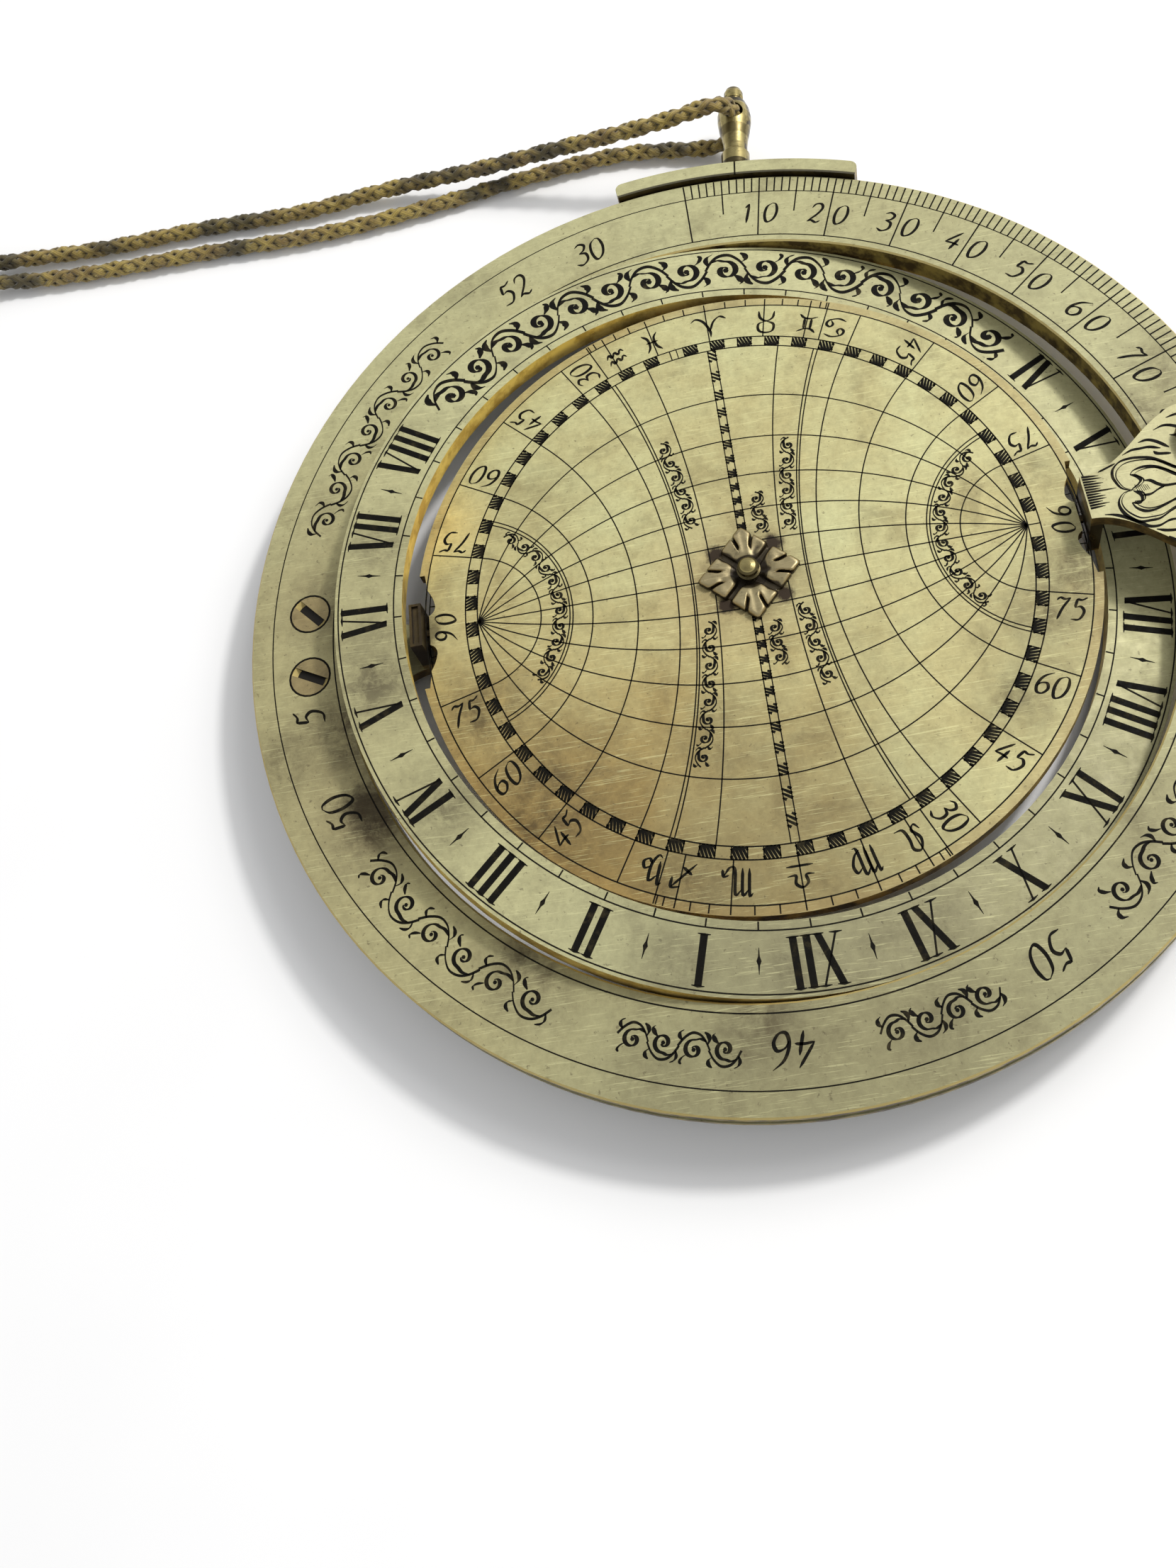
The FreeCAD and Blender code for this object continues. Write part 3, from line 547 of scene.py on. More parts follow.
# Digits and signs as pen strokes, one unit high, with their top at 1.
DIGITS = {
    "0": [[(0.30, 1.0), (0.10, 0.82), (0.06, 0.45), (0.16, 0.08), (0.30, 0.0), (0.48, 0.18),
           (0.54, 0.55), (0.44, 0.92), (0.28, 1.0)]],
    "1": [[(0.06, 0.80), (0.20, 1.0)], [(0.20, 1.0), (0.20, 0.0)]],
    "2": [[(0.06, 0.76), (0.16, 0.96), (0.38, 0.98), (0.48, 0.76), (0.34, 0.42), (0.04, 0.03)],
          [(0.04, 0.03), (0.20, 0.10), (0.40, 0.00), (0.56, 0.10)]],
    "3": [[(0.08, 0.90), (0.26, 1.0), (0.46, 0.88), (0.40, 0.66), (0.20, 0.56)],
          [(0.20, 0.56), (0.46, 0.48), (0.50, 0.18), (0.28, 0.0), (0.04, 0.10)]],
    "4": [[(0.40, 1.0), (0.02, 0.32)], [(0.02, 0.32), (0.30, 0.36), (0.58, 0.34)],
          [(0.42, 0.66), (0.36, 0.0)]],
    "5": [[(0.16, 0.96), (0.12, 0.56)], [(0.12, 0.56), (0.34, 0.62), (0.50, 0.40), (0.36, 0.06),
                                        (0.04, 0.04)], [(0.14, 0.96), (0.34, 0.92), (0.54, 1.04)]],
    "6": [[(0.46, 1.02), (0.16, 0.76), (0.05, 0.36), (0.16, 0.04), (0.38, 0.04), (0.50, 0.28),
           (0.38, 0.50), (0.16, 0.44), (0.07, 0.26)]],
    "7": [[(0.02, 0.86), (0.14, 0.98), (0.34, 0.92), (0.54, 1.0)], [(0.54, 1.0), (0.30, 0.52), (0.16, 0.0)]],
    "8": [[(0.46, 0.86), (0.30, 1.0), (0.12, 0.86), (0.24, 0.60), (0.46, 0.36), (0.46, 0.10), (0.26, 0.0),
           (0.08, 0.14), (0.16, 0.40), (0.40, 0.62), (0.46, 0.86)]],
    "9": [[(0.48, 0.72), (0.36, 0.50), (0.14, 0.56), (0.08, 0.80), (0.22, 0.99), (0.42, 0.92), (0.49, 0.66),
           (0.38, 0.24), (0.06, -0.04)]],
}

SIGNS = {
    "aries": [[(-0.75, 0.86), (-0.52, 1.0), (-0.22, 0.80), (0.0, 0.30), (0.0, 0.0)],
              [(0.0, 0.30), (0.18, 0.74), (0.46, 0.96), (0.72, 0.82)]],
    "taurus": [[(-0.30, 1.0), (-0.24, 0.70), (0.0, 0.54), (0.24, 0.70), (0.30, 1.0)],
               [(0.0, 0.54), (-0.28, 0.40), (-0.26, 0.10), (0.0, 0.0), (0.26, 0.10), (0.28, 0.40),
                (0.0, 0.54)]],
    "gemini": [[(-0.42, 1.0), (-0.2, 0.82), (0.1, 0.80), (0.44, 0.94)],
               [(-0.44, 0.0), (-0.1, 0.20), (0.2, 0.20), (0.42, 0.02)],
               [(-0.16, 0.80), (-0.14, 0.18)], [(0.16, 0.80), (0.16, 0.20)]],
    "cancer": [[(0.40, 0.92), (0.05, 1.0), (-0.34, 0.84), (-0.42, 0.60), (-0.24, 0.50), (-0.14, 0.66),
                (-0.26, 0.84)],
               [(-0.40, 0.08), (-0.05, 0.0), (0.34, 0.16), (0.42, 0.40), (0.24, 0.50), (0.14, 0.34),
                (0.26, 0.16)]],
    "leo": [[(-0.40, 0.30), (-0.28, 0.08), (-0.12, 0.24), (-0.28, 0.62), (-0.10, 0.98), (0.14, 0.86),
             (0.10, 0.50), (0.16, 0.10), (0.46, 0.04)]],
    "virgo": [[(-0.60, 0.92), (-0.48, 0.98), (-0.44, 0.05)], [(-0.44, 0.80), (-0.24, 0.98), (-0.20, 0.05)],
              [(-0.20, 0.80), (0.02, 0.98), (0.06, 0.10), (0.20, 0.0)],
              [(0.06, 0.72), (0.28, 0.86), (0.36, 0.60), (0.20, 0.26), (-0.02, 0.10)]],
    "libra": [[(-0.62, 0.0), (0.62, 0.0)],
              [(-0.62, 0.44), (-0.24, 0.44), (-0.28, 0.80), (0.0, 1.0), (0.28, 0.80), (0.24, 0.44),
               (0.62, 0.44)]],
    "scorpio": [[(-0.60, 0.92), (-0.48, 0.98), (-0.44, 0.05)], [(-0.44, 0.80), (-0.24, 0.98), (-0.20, 0.05)],
                [(-0.20, 0.80), (0.02, 0.98), (0.06, 0.14), (0.24, 0.04), (0.44, 0.34)],
                [(0.26, 0.32), (0.45, 0.36), (0.50, 0.12)]],
    "sagittarius": [[(-0.40, 0.0), (0.40, 1.0)], [(0.06, 0.94), (0.40, 1.0), (0.42, 0.62)],
                    [(-0.30, 0.44), (0.08, 0.20)]],
    "capricorn": [[(-0.46, 0.92), (-0.32, 0.98), (-0.22, 0.20)],
                  [(-0.24, 0.70), (0.0, 0.96), (0.06, 0.40), (-0.10, 0.0), (-0.26, 0.06)],
                  [(0.06, 0.44), (0.26, 0.56), (0.36, 0.34), (0.18, 0.20), (0.04, 0.36)]],
    "aquarius": [[(-0.52, 0.60), (-0.34, 0.86), (-0.20, 0.62), (0.0, 0.88), (0.16, 0.66), (0.34, 0.90),
                  (0.50, 0.74)],
                 [(-0.52, 0.16), (-0.34, 0.42), (-0.20, 0.18), (0.0, 0.44), (0.16, 0.22), (0.34, 0.46),
                  (0.50, 0.30)]],
    "pisces": [[(-0.36, 1.0), (-0.14, 0.74), (-0.14, 0.30), (-0.32, 0.0)],
               [(0.36, 1.0), (0.16, 0.74), (0.16, 0.30), (0.36, 0.0)], [(-0.26, 0.52), (0.28, 0.52)]],
}


def number(ink, text, centre, up_deg, height, pen, pitch=0.66):
    """A number centred on a place, its digits side by side, in a pen's thin and thick strokes."""
    up = polar(1, up_deg)
    right = Vector((up.y, -up.x))
    for i, digit in enumerate(text):
        offset = (i - (len(text) - 1) / 2) * pitch * height
        ink.glyph(DIGITS[digit], Vector(centre) + right * offset, up_deg, height, *pen)


def roman(ink, text, degrees, inner, outer):
    """A Roman hour with its top outwards: thick stems cut with several lines, hairlines and serifs."""
    height = outer - inner
    widths = {"I": 1.75, "V": 3.3, "X": 3.5}
    hairline = 0.28
    up = polar(1, degrees)
    right = Vector((up.y, -up.x))
    base = polar(inner, degrees)

    def at(x, y):
        return base + right * x + up * y * height

    def thick(x0, y0, x1, y1):
        for shift in (-0.36, -0.12, 0.12, 0.36):
            ink.stroke([at(x0 + shift, y0), at(x1 + shift, y1)], [0.27, 0.24])

    def serif(x, y):
        ink.pen([at(x - 0.85, y), at(x, y + 0.01), at(x + 0.85, y)], 0.20, 0.34, degrees)

    x = -sum(widths[letter] for letter in text) / 2
    for letter in text:
        mid = x + widths[letter] / 2
        if letter == "I":
            thick(mid, 0.0, mid, 1.0)
            serif(mid, 0.0)
            serif(mid, 1.0)
        elif letter == "V":
            thick(mid - 1.15, 1.0, mid + 0.05, 0.02)
            ink.stroke([at(mid + 1.25, 1.0), at(mid + 0.15, 0.02)], hairline)
            serif(mid - 1.1, 1.0)
            serif(mid + 1.25, 1.0)
        else:
            thick(mid - 1.15, 1.0, mid + 1.15, 0.0)
            ink.stroke([at(mid + 1.2, 1.0), at(mid - 1.2, 0.0)], hairline)
            for side in (-1.2, 1.2):
                serif(mid + side, 0.0)
                serif(mid + side, 1.0)
        x += widths[letter]


def lozenge(ink, radius, degrees):
    """Half-hour mark: a small lozenge drawn out into fine points along the radius."""
    ink.stroke([polar(radius + s, degrees) for s in (-1.7, -0.55, 0.0, 0.55, 1.7)],
               [0.07, 0.26, 0.66, 0.26, 0.07])


def scroll_band(ink, place, length, height, thin, thick, leaves=True, stretch=1.0):
    """A running scroll: a waving stem, a volute with a seed in each hollow, and leaves on each crest.

    place(s, h) gives the point s along the band and h above its middle line.
    """
    bays = max(1, round(length / (stretch * height)))
    bay = length / bays
    for i in range(bays):
        side = 1 if i % 2 else -1

        def at(x, y, start=i * bay, side=side):
            return place(start + x * bay, side * y * height)

        stem = [(-0.02, 0.02), (0.14, -0.24), (0.34, -0.41), (0.60, -0.44), (0.84, -0.27), (1.02, -0.02)]
        ink.pen(smooth([at(x, y) for x, y in stem], 5), thin, thick * 0.62, 90, 0.0)
        volute = [at(0.13, -0.22), at(0.30, -0.29)]
        for step in range(15):
            turn = math.radians(side * (-100 + 30 * step))
            reach = 0.30 - 0.0165 * step
            volute.append(at(0.50 + reach * math.cos(turn) * height / bay,
                             0.04 + side * reach * math.sin(turn)))
        ink.pen(smooth(volute, 3), thin, thick, 0, 0.10)
        seed = at(0.50, 0.04)
        ink.circle(thick * 0.26, thick * 0.5, centre=seed)
        if leaves:
            for leaf in ([(0.06, -0.14), (0.02, -0.30), (0.08, -0.42), (0.20, -0.49)],
                         [(0.90, -0.20), (1.00, -0.30), (0.99, -0.42), (0.88, -0.50)],
                         [(0.72, 0.20), (0.84, 0.30), (0.90, 0.42), (0.84, 0.49)]):
                ink.pen(smooth([at(x, y) for x, y in leaf], 4), thin * 0.8, thick * 1.1, 30, 0.4)


def on_arc(radius, start_deg, clockwise=True):
    """Maps a band onto a circle, running clockwise with its top outwards, or the other way."""
    def place(s, h):
        turn = math.degrees(s / radius)
        return polar(radius + h, start_deg - turn if clockwise else start_deg + turn)
    return place


# ---- faces that are engraved ----------------------------------------------------------------------
def level(z):
    """A face that looks up at a height."""
    return Matrix.Scale(MM, 4) @ Matrix.Translation((0, 0, z))


def underside(z):
    """A face that looks down at a height: x runs the other way."""
    return Matrix.Scale(MM, 4) @ Matrix.Translation((0, 0, z)) @ Matrix.Rotation(math.pi, 4, "Y")


def hour_face(side=1):
    """The hour ring's front, or its back with side -1, tipped open about its pivots."""
    tilt = Matrix.Rotation(math.radians(HOUR_OPEN_DEG) + (0 if side > 0 else math.pi), 4, "Y")
    return (Matrix.Scale(MM, 4) @ Matrix.Translation((0, 0, PIVOT_Z)) @ tilt
            @ Matrix.Translation((0, 0, HOUR_THICK / 2)))


def engrave_meridian_ring():
    """Latitude scale from 0 to 90, two border circles, and scroll work where names would be."""
    ink = Engraving(level(RING_TOP))
    ink.circle(SCALE_R, 0.17)
    ink.circle(RING_INNER_LINE, BORDER_LINE)
    for latitude in range(0, 91):
        inner, width = SCALE_R, DEGREE_LINE
        if latitude % 10 == 0:
            inner = RING_INNER_LINE
        elif latitude % 5 == 0:
            inner, width = FIVES_R, 0.23
        ink.radial(90 - latitude, inner, RING_R - 0.3, width)
    for latitude in range(10, 90, 10):
        for digit, side in zip(str(latitude), (1, -1)):
            degrees = 90 - latitude + side * NUMBER_HALF_GAP_DEG
            ink.glyph(DIGITS[digit], polar(NUMBER_R, degrees), degrees, NUMBER_HEIGHT, *RING_PEN)
    for text, degrees in (("30", 105.0), ("52", 117.0), ("50", 203.0), ("46", 266.0), ("50", 295.5),
                          ("5", 189.5)):
        number(ink, text, polar(ORNAMENT_R, degrees), degrees, 4.4, (0.26, 0.52))
    for start, end, height in ((163.5, 130.0, 5.0), (239.0, 210.5, 5.0), (260.5, 247.0, 4.2),
                               (289.0, 275.5, 4.2), (346.0, 304.0, 5.0)):
        length = math.radians(start - end) * ORNAMENT_R
        scroll_band(ink, on_arc(ORNAMENT_R, start), length, height, 0.20, 0.56, stretch=1.05)
    ink.piece("meridian_ring_engraving", "ring")


def engrave_hour_ring():
    """Hours IV to VIII round the lower side, half-hour lozenges, and a scroll frieze over the top."""
    ink = Engraving(hour_face())
    ink.circle(HOUR_OUTER_LINE, BORDER_LINE)
    ink.circle(HOUR_INNER_LINE, BORDER_LINE)
    for half_hour in range(48):
        ink.radial(half_hour * HOUR_DEG / 2, HOUR_INNER_R + 0.05, HOUR_INNER_LINE, 0.22)
    morning = ("XII", "XI", "X", "IX", "VIII", "VII", "VI", "V", "IV")
    evening = ("I", "II", "III", "IV", "V", "VI", "VII", "VIII")
    for side, first, hours in ((1, 0, morning), (-1, 1, evening)):
        for step, hour in enumerate(hours, first):
            roman(ink, hour, NOON_DEG + side * HOUR_DEG * step, HOUR_TEXT_IN, HOUR_TEXT_OUT)
        for step in range(8):
            lozenge(ink, LOZENGE_R, NOON_DEG + side * HOUR_DEG * (step + 0.5))
    middle = (HOUR_TEXT_IN + HOUR_TEXT_OUT) / 2
    start, end = FRIEZE_DEG
    length = math.radians(start - end) * middle
    scroll_band(ink, on_arc(middle, start), length, HOUR_TEXT_OUT - HOUR_TEXT_IN, 0.22, 1.0)
    ink.piece("hour_ring_engraving", "hour")


def engrave_plate():
    """Everything cut on the plate's face: its limb, the sphere's projection and the zodiac scales."""
    ink = Engraving(level(PLATE_TOP))
    for radius in (LIMB_R, CHECK_OUT, CHECK_IN):
        ink.circle(radius, BORDER_LINE)
    check_cells(ink)
    sphere_grid(ink)
    equator_band(ink)
    limb_lines(ink)
    zodiac(ink)
    circle_labels(ink)
    ink.piece("plate_engraving", "plate")


def check_cells(ink):
    """Three-degree cells between the two inner circles, hatched in turn; the engraver loses the
    alternation just past the top, where two cells stay open."""
    for cell in range(360 // CELL_DEG):
        start = cell * CELL_DEG
        ink.radial(start, CHECK_IN, CHECK_OUT, CELL_LINE)
        hatched = cell % 2 == 1 if cell < OPEN_CELLS[0] else cell % 2 == 0
        if cell in OPEN_CELLS or not hatched:
            continue

        def corner(across, along, start=start):
            return polar(CHECK_IN + (CHECK_OUT - CHECK_IN) * along, start + CELL_DEG * across)

        ink.hatched_cell(corner, 6, 0.42, 0.42)
    ink.radial((OPEN_CELLS[0] + 0.5) * CELL_DEG, CHECK_IN, CHECK_OUT, 0.16)


def sphere_grid(ink):
    """Meridians and parallels each 15 degrees, with double tropics and polar circles."""
    ink.stroke([(-SPHERE_R, 0), (SPHERE_R, 0)], GRID_LINE)
    for step in range(15, 90, 15):
        turn = math.radians(step)
        radius, offset = SPHERE_R / math.sin(turn), SPHERE_R / math.tan(turn)
        for side in (1, -1):
            centre = (0.0, -side * offset)
            ink.circle(radius, GRID_LINE, 90 * side - step, 90 * side + step, centre)
    for latitude in range(15, 90, 15):
        parallel(ink, latitude)
    for latitude in (TROPIC, 90 - TROPIC):
        for shift in (-DOUBLE_LINE_HALF_GAP, DOUBLE_LINE_HALF_GAP):
            parallel(ink, latitude + shift)


def parallel(ink, latitude):
    """One parallel on each side of the equator, inside the sphere's circle."""
    turn = math.radians(latitude)
    radius, offset = SPHERE_R / math.tan(turn), SPHERE_R / math.sin(turn)
    ink.circle(radius, GRID_LINE, 180 - latitude, 180 + latitude, (offset, 0.0))
    ink.circle(radius, GRID_LINE, -latitude, latitude, (-offset, 0.0))


def equator_band(ink):
    """The equator as a narrow ladder of three-degree cells, every other one hatched."""
    for side in (-1, 1):
        ink.stroke([(side * BAND_HALF, -CHECK_IN), (side * BAND_HALF, CHECK_IN)], 0.17)

    def height(cell):
        return SPHERE_R * math.tan(math.radians(CELL_DEG * cell) / 2)

    for cell in range(-29, 30, 2):
        start, run = height(cell), height(cell + 1) - height(cell)

        def corner(across, along, start=start, run=run):
            return Vector((BAND_HALF * (1.15 - 2.3 * along), start + run * across))

        ink.hatched_cell(corner, 4, 0.40, 0.5)


def limb_lines(ink):
    """Lines each 15 degrees across the limb, with their numbers on the equator side."""
    for degrees in range(0, 360, 15):
        if abs(degrees - 90) < TROPIC or abs(degrees - 270) < TROPIC or degrees in (0, 180):
            continue
        ink.radial(degrees, CHECK_OUT, LIMB_R, BORDER_LINE)
    left_out = ((30, 1, 1), (30, -1, -1))
    for value in (75, 60, 45, 30):
        for x_side, y_side in ((1, 1), (1, -1), (-1, 1), (-1, -1)):
            if (value, x_side, y_side) in left_out:
                continue
            degrees = limb_angle(value - 3.1, x_side, y_side)
            outward = (x_side < 0) == (y_side > 0)
            reading = limb_angle(value, x_side, y_side) + (90 if outward else 270)
            number(ink, str(value), polar(LIMB_TEXT_R, degrees), reading, 3.5, LIMB_PEN)
    for pole in (0, 180):
        for digit, turn in (("9", 1.75), ("0", -1.75)):
            ink.glyph(DIGITS[digit], polar(45.6, pole + turn), pole, 3.1, 0.22, 0.44)


def limb_angle(latitude, x_side, y_side):
    """The angle on the limb of a latitude counted from the equator, in one quarter of the plate."""
    from_equator = latitude if x_side > 0 else -latitude
    return 90 - from_equator if y_side > 0 else 270 + from_equator


def zodiac(ink):
    """Declination of the sun for each ten degrees of its path, at both ends of the equator."""
    for axis, turn_side in ((90, -1), (270, 1)):
        for tens in range(-9, 10):
            height = math.sin(math.radians(TROPIC)) * math.sin(math.radians(tens * 10))
            declination = math.degrees(math.asin(height))
            inner = CHECK_OUT if tens % 3 == 0 else LIMB_R
            ink.radial(axis + turn_side * declination, inner, PLATE_R - 0.15, BORDER_LINE)
    upper = (("aquarius", -19.5, 3.0), ("pisces", -11.7, 3.6), ("aries", 0.4, 3.9), ("taurus", 12.0, 4.2),
             ("gemini", 20.4, 3.4), ("cancer", 26.1, 3.6))
    lower = (("capricorn", -25.1, 3.8), ("sagittarius", -19.8, 3.6), ("scorpio", -10.6, 3.8),
             ("libra", 0.0, 2.9), ("virgo", 11.0, 3.8), ("leo", 19.4, 3.8))
    for axis, signs, way in ((90, upper, -1), (270, lower, 1)):
        for name, turn, height in signs:
            degrees = axis + way * turn
            ink.glyph(SIGNS[name], polar(45.3, degrees), degrees, height, *LIMB_PEN, lean=0.0)


def circle_labels(ink):
    """Small running scrolls beside the polar circles, the tropics and the equator."""
    bands = [(beside_parallel(90 - TROPIC, 1, 13.5, -1.7), 28.0),
             (beside_parallel(90 - TROPIC, -1, 13.5, -1.7), 28.0),
             (beside_parallel(TROPIC, 1, 22.0, 1.7), 16.0), (beside_parallel(TROPIC, 1, -6.0, 1.7), 13.0),
             (beside_parallel(TROPIC, -1, 25.0, 1.7), 16.0), (beside_parallel(TROPIC, -1, -6.5, 1.7), 22.0),
             (beside_equator(2.9, 13.5), 7.0), (beside_equator(2.3, -8.0), 7.0)]
    for place, length in bands:
        scroll_band(ink, place, length, 2.3, *SMALL_SCROLL_PEN, stretch=1.15)


def beside_equator(x, top):
    """A band that runs down beside the equator from y = top."""
    def place(s, h):
        return Vector((x + h, top - s))
    return place


def beside_parallel(latitude, side, top, shift):
    """A band that runs down along one parallel from y = top, shifted to the equator's side."""
    turn = math.radians(latitude)
    radius, offset = SPHERE_R / math.tan(turn) + shift, SPHERE_R / math.sin(turn)
    first = math.asin(max(-1.0, min(1.0, top / radius)))

    def place(s, h):
        angle = first - s / radius
        return Vector((side * (offset - (radius + h) * math.cos(angle)), (radius + h) * math.sin(angle)))
    return place


def outlined_screws():
    """The dark line round each screw head, on both faces of the ring."""
    for name, face in (("south_screw_outlines", level(RING_TOP)),
                       ("north_screw_outlines", underside(RING_BOTTOM))):
        ink = Engraving(face)
        for degrees in SCREW_DEG:
            ink.circle(SCREW_HEAD_R + 0.12, 0.30, centre=polar(SCREW_R, degrees))
        ink.piece(name, "ring")


# Leaf scrolls of a pole bracket, whose arm points along +X: lines of given points.
SCROLLS = (
    [(55.0, -0.17), (53.8, 0.5), (53.25, 1.7), (53.1, 2.7), (53.5, 3.8), (54.7, 4.75), (56.3, 5.0),
     (58.0, 4.8), (59.2, 4.4), (60.5, 3.5), (62.0, 2.3), (63.4, 1.8), (65.2, 2.0), (66.4, 3.2),
     (66.6, 4.8), (65.6, 6.1), (64.1, 6.1), (63.3, 5.0), (63.9, 4.1)],
    [(55.5, 2.4), (56.2, 3.0), (57.7, 3.3), (59.2, 3.0), (60.5, 2.2), (62.0, 1.0), (63.8, 0.5), (65.6, 0.5)],
    [(55.5, 2.4), (56.3, 2.0), (56.7, 1.3), (56.25, 0.7), (55.3, 0.1), (55.0, -0.17)],
    [(55.0, -0.17), (54.0, -0.3), (53.2, -1.0), (52.8, -2.0), (53.0, -3.2), (53.7, -4.3), (54.8, -5.2),
     (56.3, -5.3), (57.7, -5.2), (59.3, -4.4), (60.8, -3.7), (62.4, -2.5), (63.8, -1.9), (65.4, -2.1),
     (66.5, -3.3), (66.6, -4.9), (65.5, -6.1), (64.0, -6.0), (63.3, -4.9), (63.9, -4.0)],
    [(54.6, -2.1), (55.0, -3.0), (56.0, -3.7), (57.3, -3.75), (59.0, -3.25), (60.3, -2.75), (61.2, -2.6),
     (62.6, -1.3), (64.0, -0.7), (65.6, -0.5)],
    [(54.6, -2.1), (55.8, -2.25), (56.2, -1.5), (56.0, -0.8), (55.3, -0.3)],
    [(57.0, 1.1), (58.0, 0.9), (58.8, 0.2), (59.8, -0.25), (62.0, -0.3)],
    [(56.3, -1.2), (57.5, -1.2), (58.8, -0.6), (59.8, -0.3)],
    [(51.3, 3.65), (52.6, 4.1), (54.0, 4.6)],
    [(55.3, 5.7), (56.7, 6.25), (58.0, 6.3), (59.3, 6.3), (60.8, 5.8)],
    [(58.0, 7.3), (59.3, 7.5), (60.5, 7.0), (62.0, 5.7)],
    [(59.7, 5.5), (60.2, 5.0), (62.0, 4.7)],
    [(60.6, 8.9), (62.2, 9.4), (63.7, 9.0), (65.0, 8.0), (67.0, 7.6), (68.6, 8.2)],
    [(62.6, 7.7), (64.0, 7.3), (66.0, 6.9), (67.6, 6.2), (68.6, 5.0), (69.0, 3.4)],
    [(62.9, 10.6), (64.6, 10.9), (66.2, 10.4), (67.8, 9.6)],
    [(50.5, -3.2), (51.8, -3.5), (53.2, -4.2), (55.0, -5.5), (56.0, -6.2), (57.3, -6.3), (58.7, -5.8),
     (59.7, -5.75), (60.2, -6.1), (59.8, -6.3)],
    [(56.7, -6.8), (58.0, -7.25), (59.8, -7.4), (61.2, -6.9), (62.3, -5.8)],
    [(58.0, -8.2), (59.3, -9.2), (61.0, -9.3), (62.6, -8.8), (64.2, -7.6), (66.2, -6.9)],
    [(62.4, -10.4), (64.2, -10.9), (66.0, -10.4), (67.8, -9.4)],
    [(66.2, -6.9), (67.8, -6.1), (68.7, -4.8), (69.0, -3.2)],
    [(67.6, 1.2), (68.6, 2.4), (70.2, 2.9), (71.4, 2.2), (71.5, 0.9), (70.4, 0.2), (69.2, 0.0), (67.4, 0.0)],
    [(67.6, -1.2), (68.6, -2.4), (70.2, -2.9), (71.4, -2.2), (71.5, -0.9), (70.4, -0.2)],
    [(70.0, 4.2), (70.9, 5.6), (70.8, 7.0)], [(70.0, -4.2), (70.9, -5.6), (70.8, -7.0)],
)
COMB_START, COMB_TOP, COMB_STEP, COMB_CUTS = 48.85, 3.30, 0.43, 13
ECHOED_LINES = 6
LEAF_NIB_DEG = 35


def engrave_brackets():
    """Leafy scrolls cut on both pole brackets, with a comb of short cuts at the tip."""
    for name, face in (("north_bracket_engraving", level(BRACKET_TOP)),
                       ("south_bracket_engraving", underside(BRACKET_BOTTOM))):
        ink = Engraving(face)
        for line in SCROLLS:
            ink.pen(smooth(line, 6), 0.20, 0.56, LEAF_NIB_DEG, 0.16)
        for line in SCROLLS[:ECHOED_LINES]:
            echo = [(x + 0.45, y * 0.90) for x, y in line]
            ink.pen(smooth(echo, 6), 0.10, 0.26, LEAF_NIB_DEG, 0.2)
        for cut in range(COMB_CUTS):
            y = COMB_TOP - COMB_STEP * cut
            reach = 4.3 if cut == COMB_CUTS // 2 else 2.4 + 0.45 * math.sin(2.4 * cut)
            path = [(COMB_START + reach * share, y * (1 - 0.05 * share)) for share in (0, 0.35, 0.7, 1)]
            ink.stroke(path, [0.36, 0.33, 0.24, 0.06])
        for step in range(7):
            x = 55.7 + 0.27 * step
            ink.stroke([(x, 0.7 - 0.05 * step), (x + 0.25, -0.7 + 0.05 * step)], 0.08)
        ink.piece(name, "ring")


def slider_index():
    """The dark index lines on the slider, level with the finial."""
    ink = Engraving(level(high("suspension_slider").z))
    ink.radial(SLIDER_DEG, SLIDER_IN + 0.05, SLIDER_OUT - 0.25, 0.28)
    ink.piece("slider_index_line", "slider")


def alidade_lines():
    """The fiducial line along the rule and short ticks beside it, longer each ten, seen from the back."""
    ink = Engraving(underside(low("alidade_rule").z))
    reach = high("alidade_rule").y - 1.2
    for side in (-1, 1):
        ink.stroke([(0, side * 8.0), (0, side * reach)], 0.14)
        for tick in range(10, int(reach), 2):
            ink.stroke([(0, side * tick), (0.9 if tick % 10 else 1.8, side * tick)], 0.12)
    ink.piece("alidade_lines", "alidade")


def back_borders():
    """Plain border circles on the backs, and a scale of degrees for the alidade on the plate's back."""
    for name, body, face, radii in (
            ("meridian_ring_back_lines", "ring", underside(RING_BOTTOM), (SCALE_R, RING_INNER_LINE)),
            ("hour_ring_back_lines", "hour", hour_face(-1), (HOUR_OUTER_LINE, HOUR_INNER_LINE)),
            ("plate_back_lines", "plate", underside(PLATE_BOTTOM), (LIMB_R, BACK_SCALE_R, CHECK_OUT))):
        ink = Engraving(face)
        for radius in radii:
            ink.circle(radius, BACK_LINE)
        if body == "plate":
            back_scale(ink)
        ink.piece(name, body)


def back_scale(ink):
    """Lines each two degrees, longer each ten and thirty, with the altitude beside each thirty."""
    for degrees in range(0, 360, 2):
        inner = CHECK_OUT if degrees % 30 == 0 else BACK_SCALE_R - (1.2 if degrees % 10 == 0 else 0.0)
        ink.radial(degrees, inner, LIMB_R, 0.14)
    for step in range(0, 360, 30):
        altitude = min(step % 180, 180 - step % 180)
        number(ink, str(altitude), polar(43.9, step + 3.4), step + 3.4, 2.0, (0.16, 0.30))


# ---- rosette --------------------------------------------------------------------------------------
def rosette_outline(turn):
    """The flower's edge at an angle from a corner's direction, within 45 degrees of it."""
    turn = abs(turn)
    square = ROSETTE_HALF_DIAGONAL / (math.cos(math.radians(turn)) + math.sin(math.radians(turn)))
    edge = min(square, 7.5) - 0.30 * math.exp(-((turn - 14) / 1.5) ** 2)
    return edge - 0.60 * math.exp(-((turn - 45) / 3.4) ** 2)


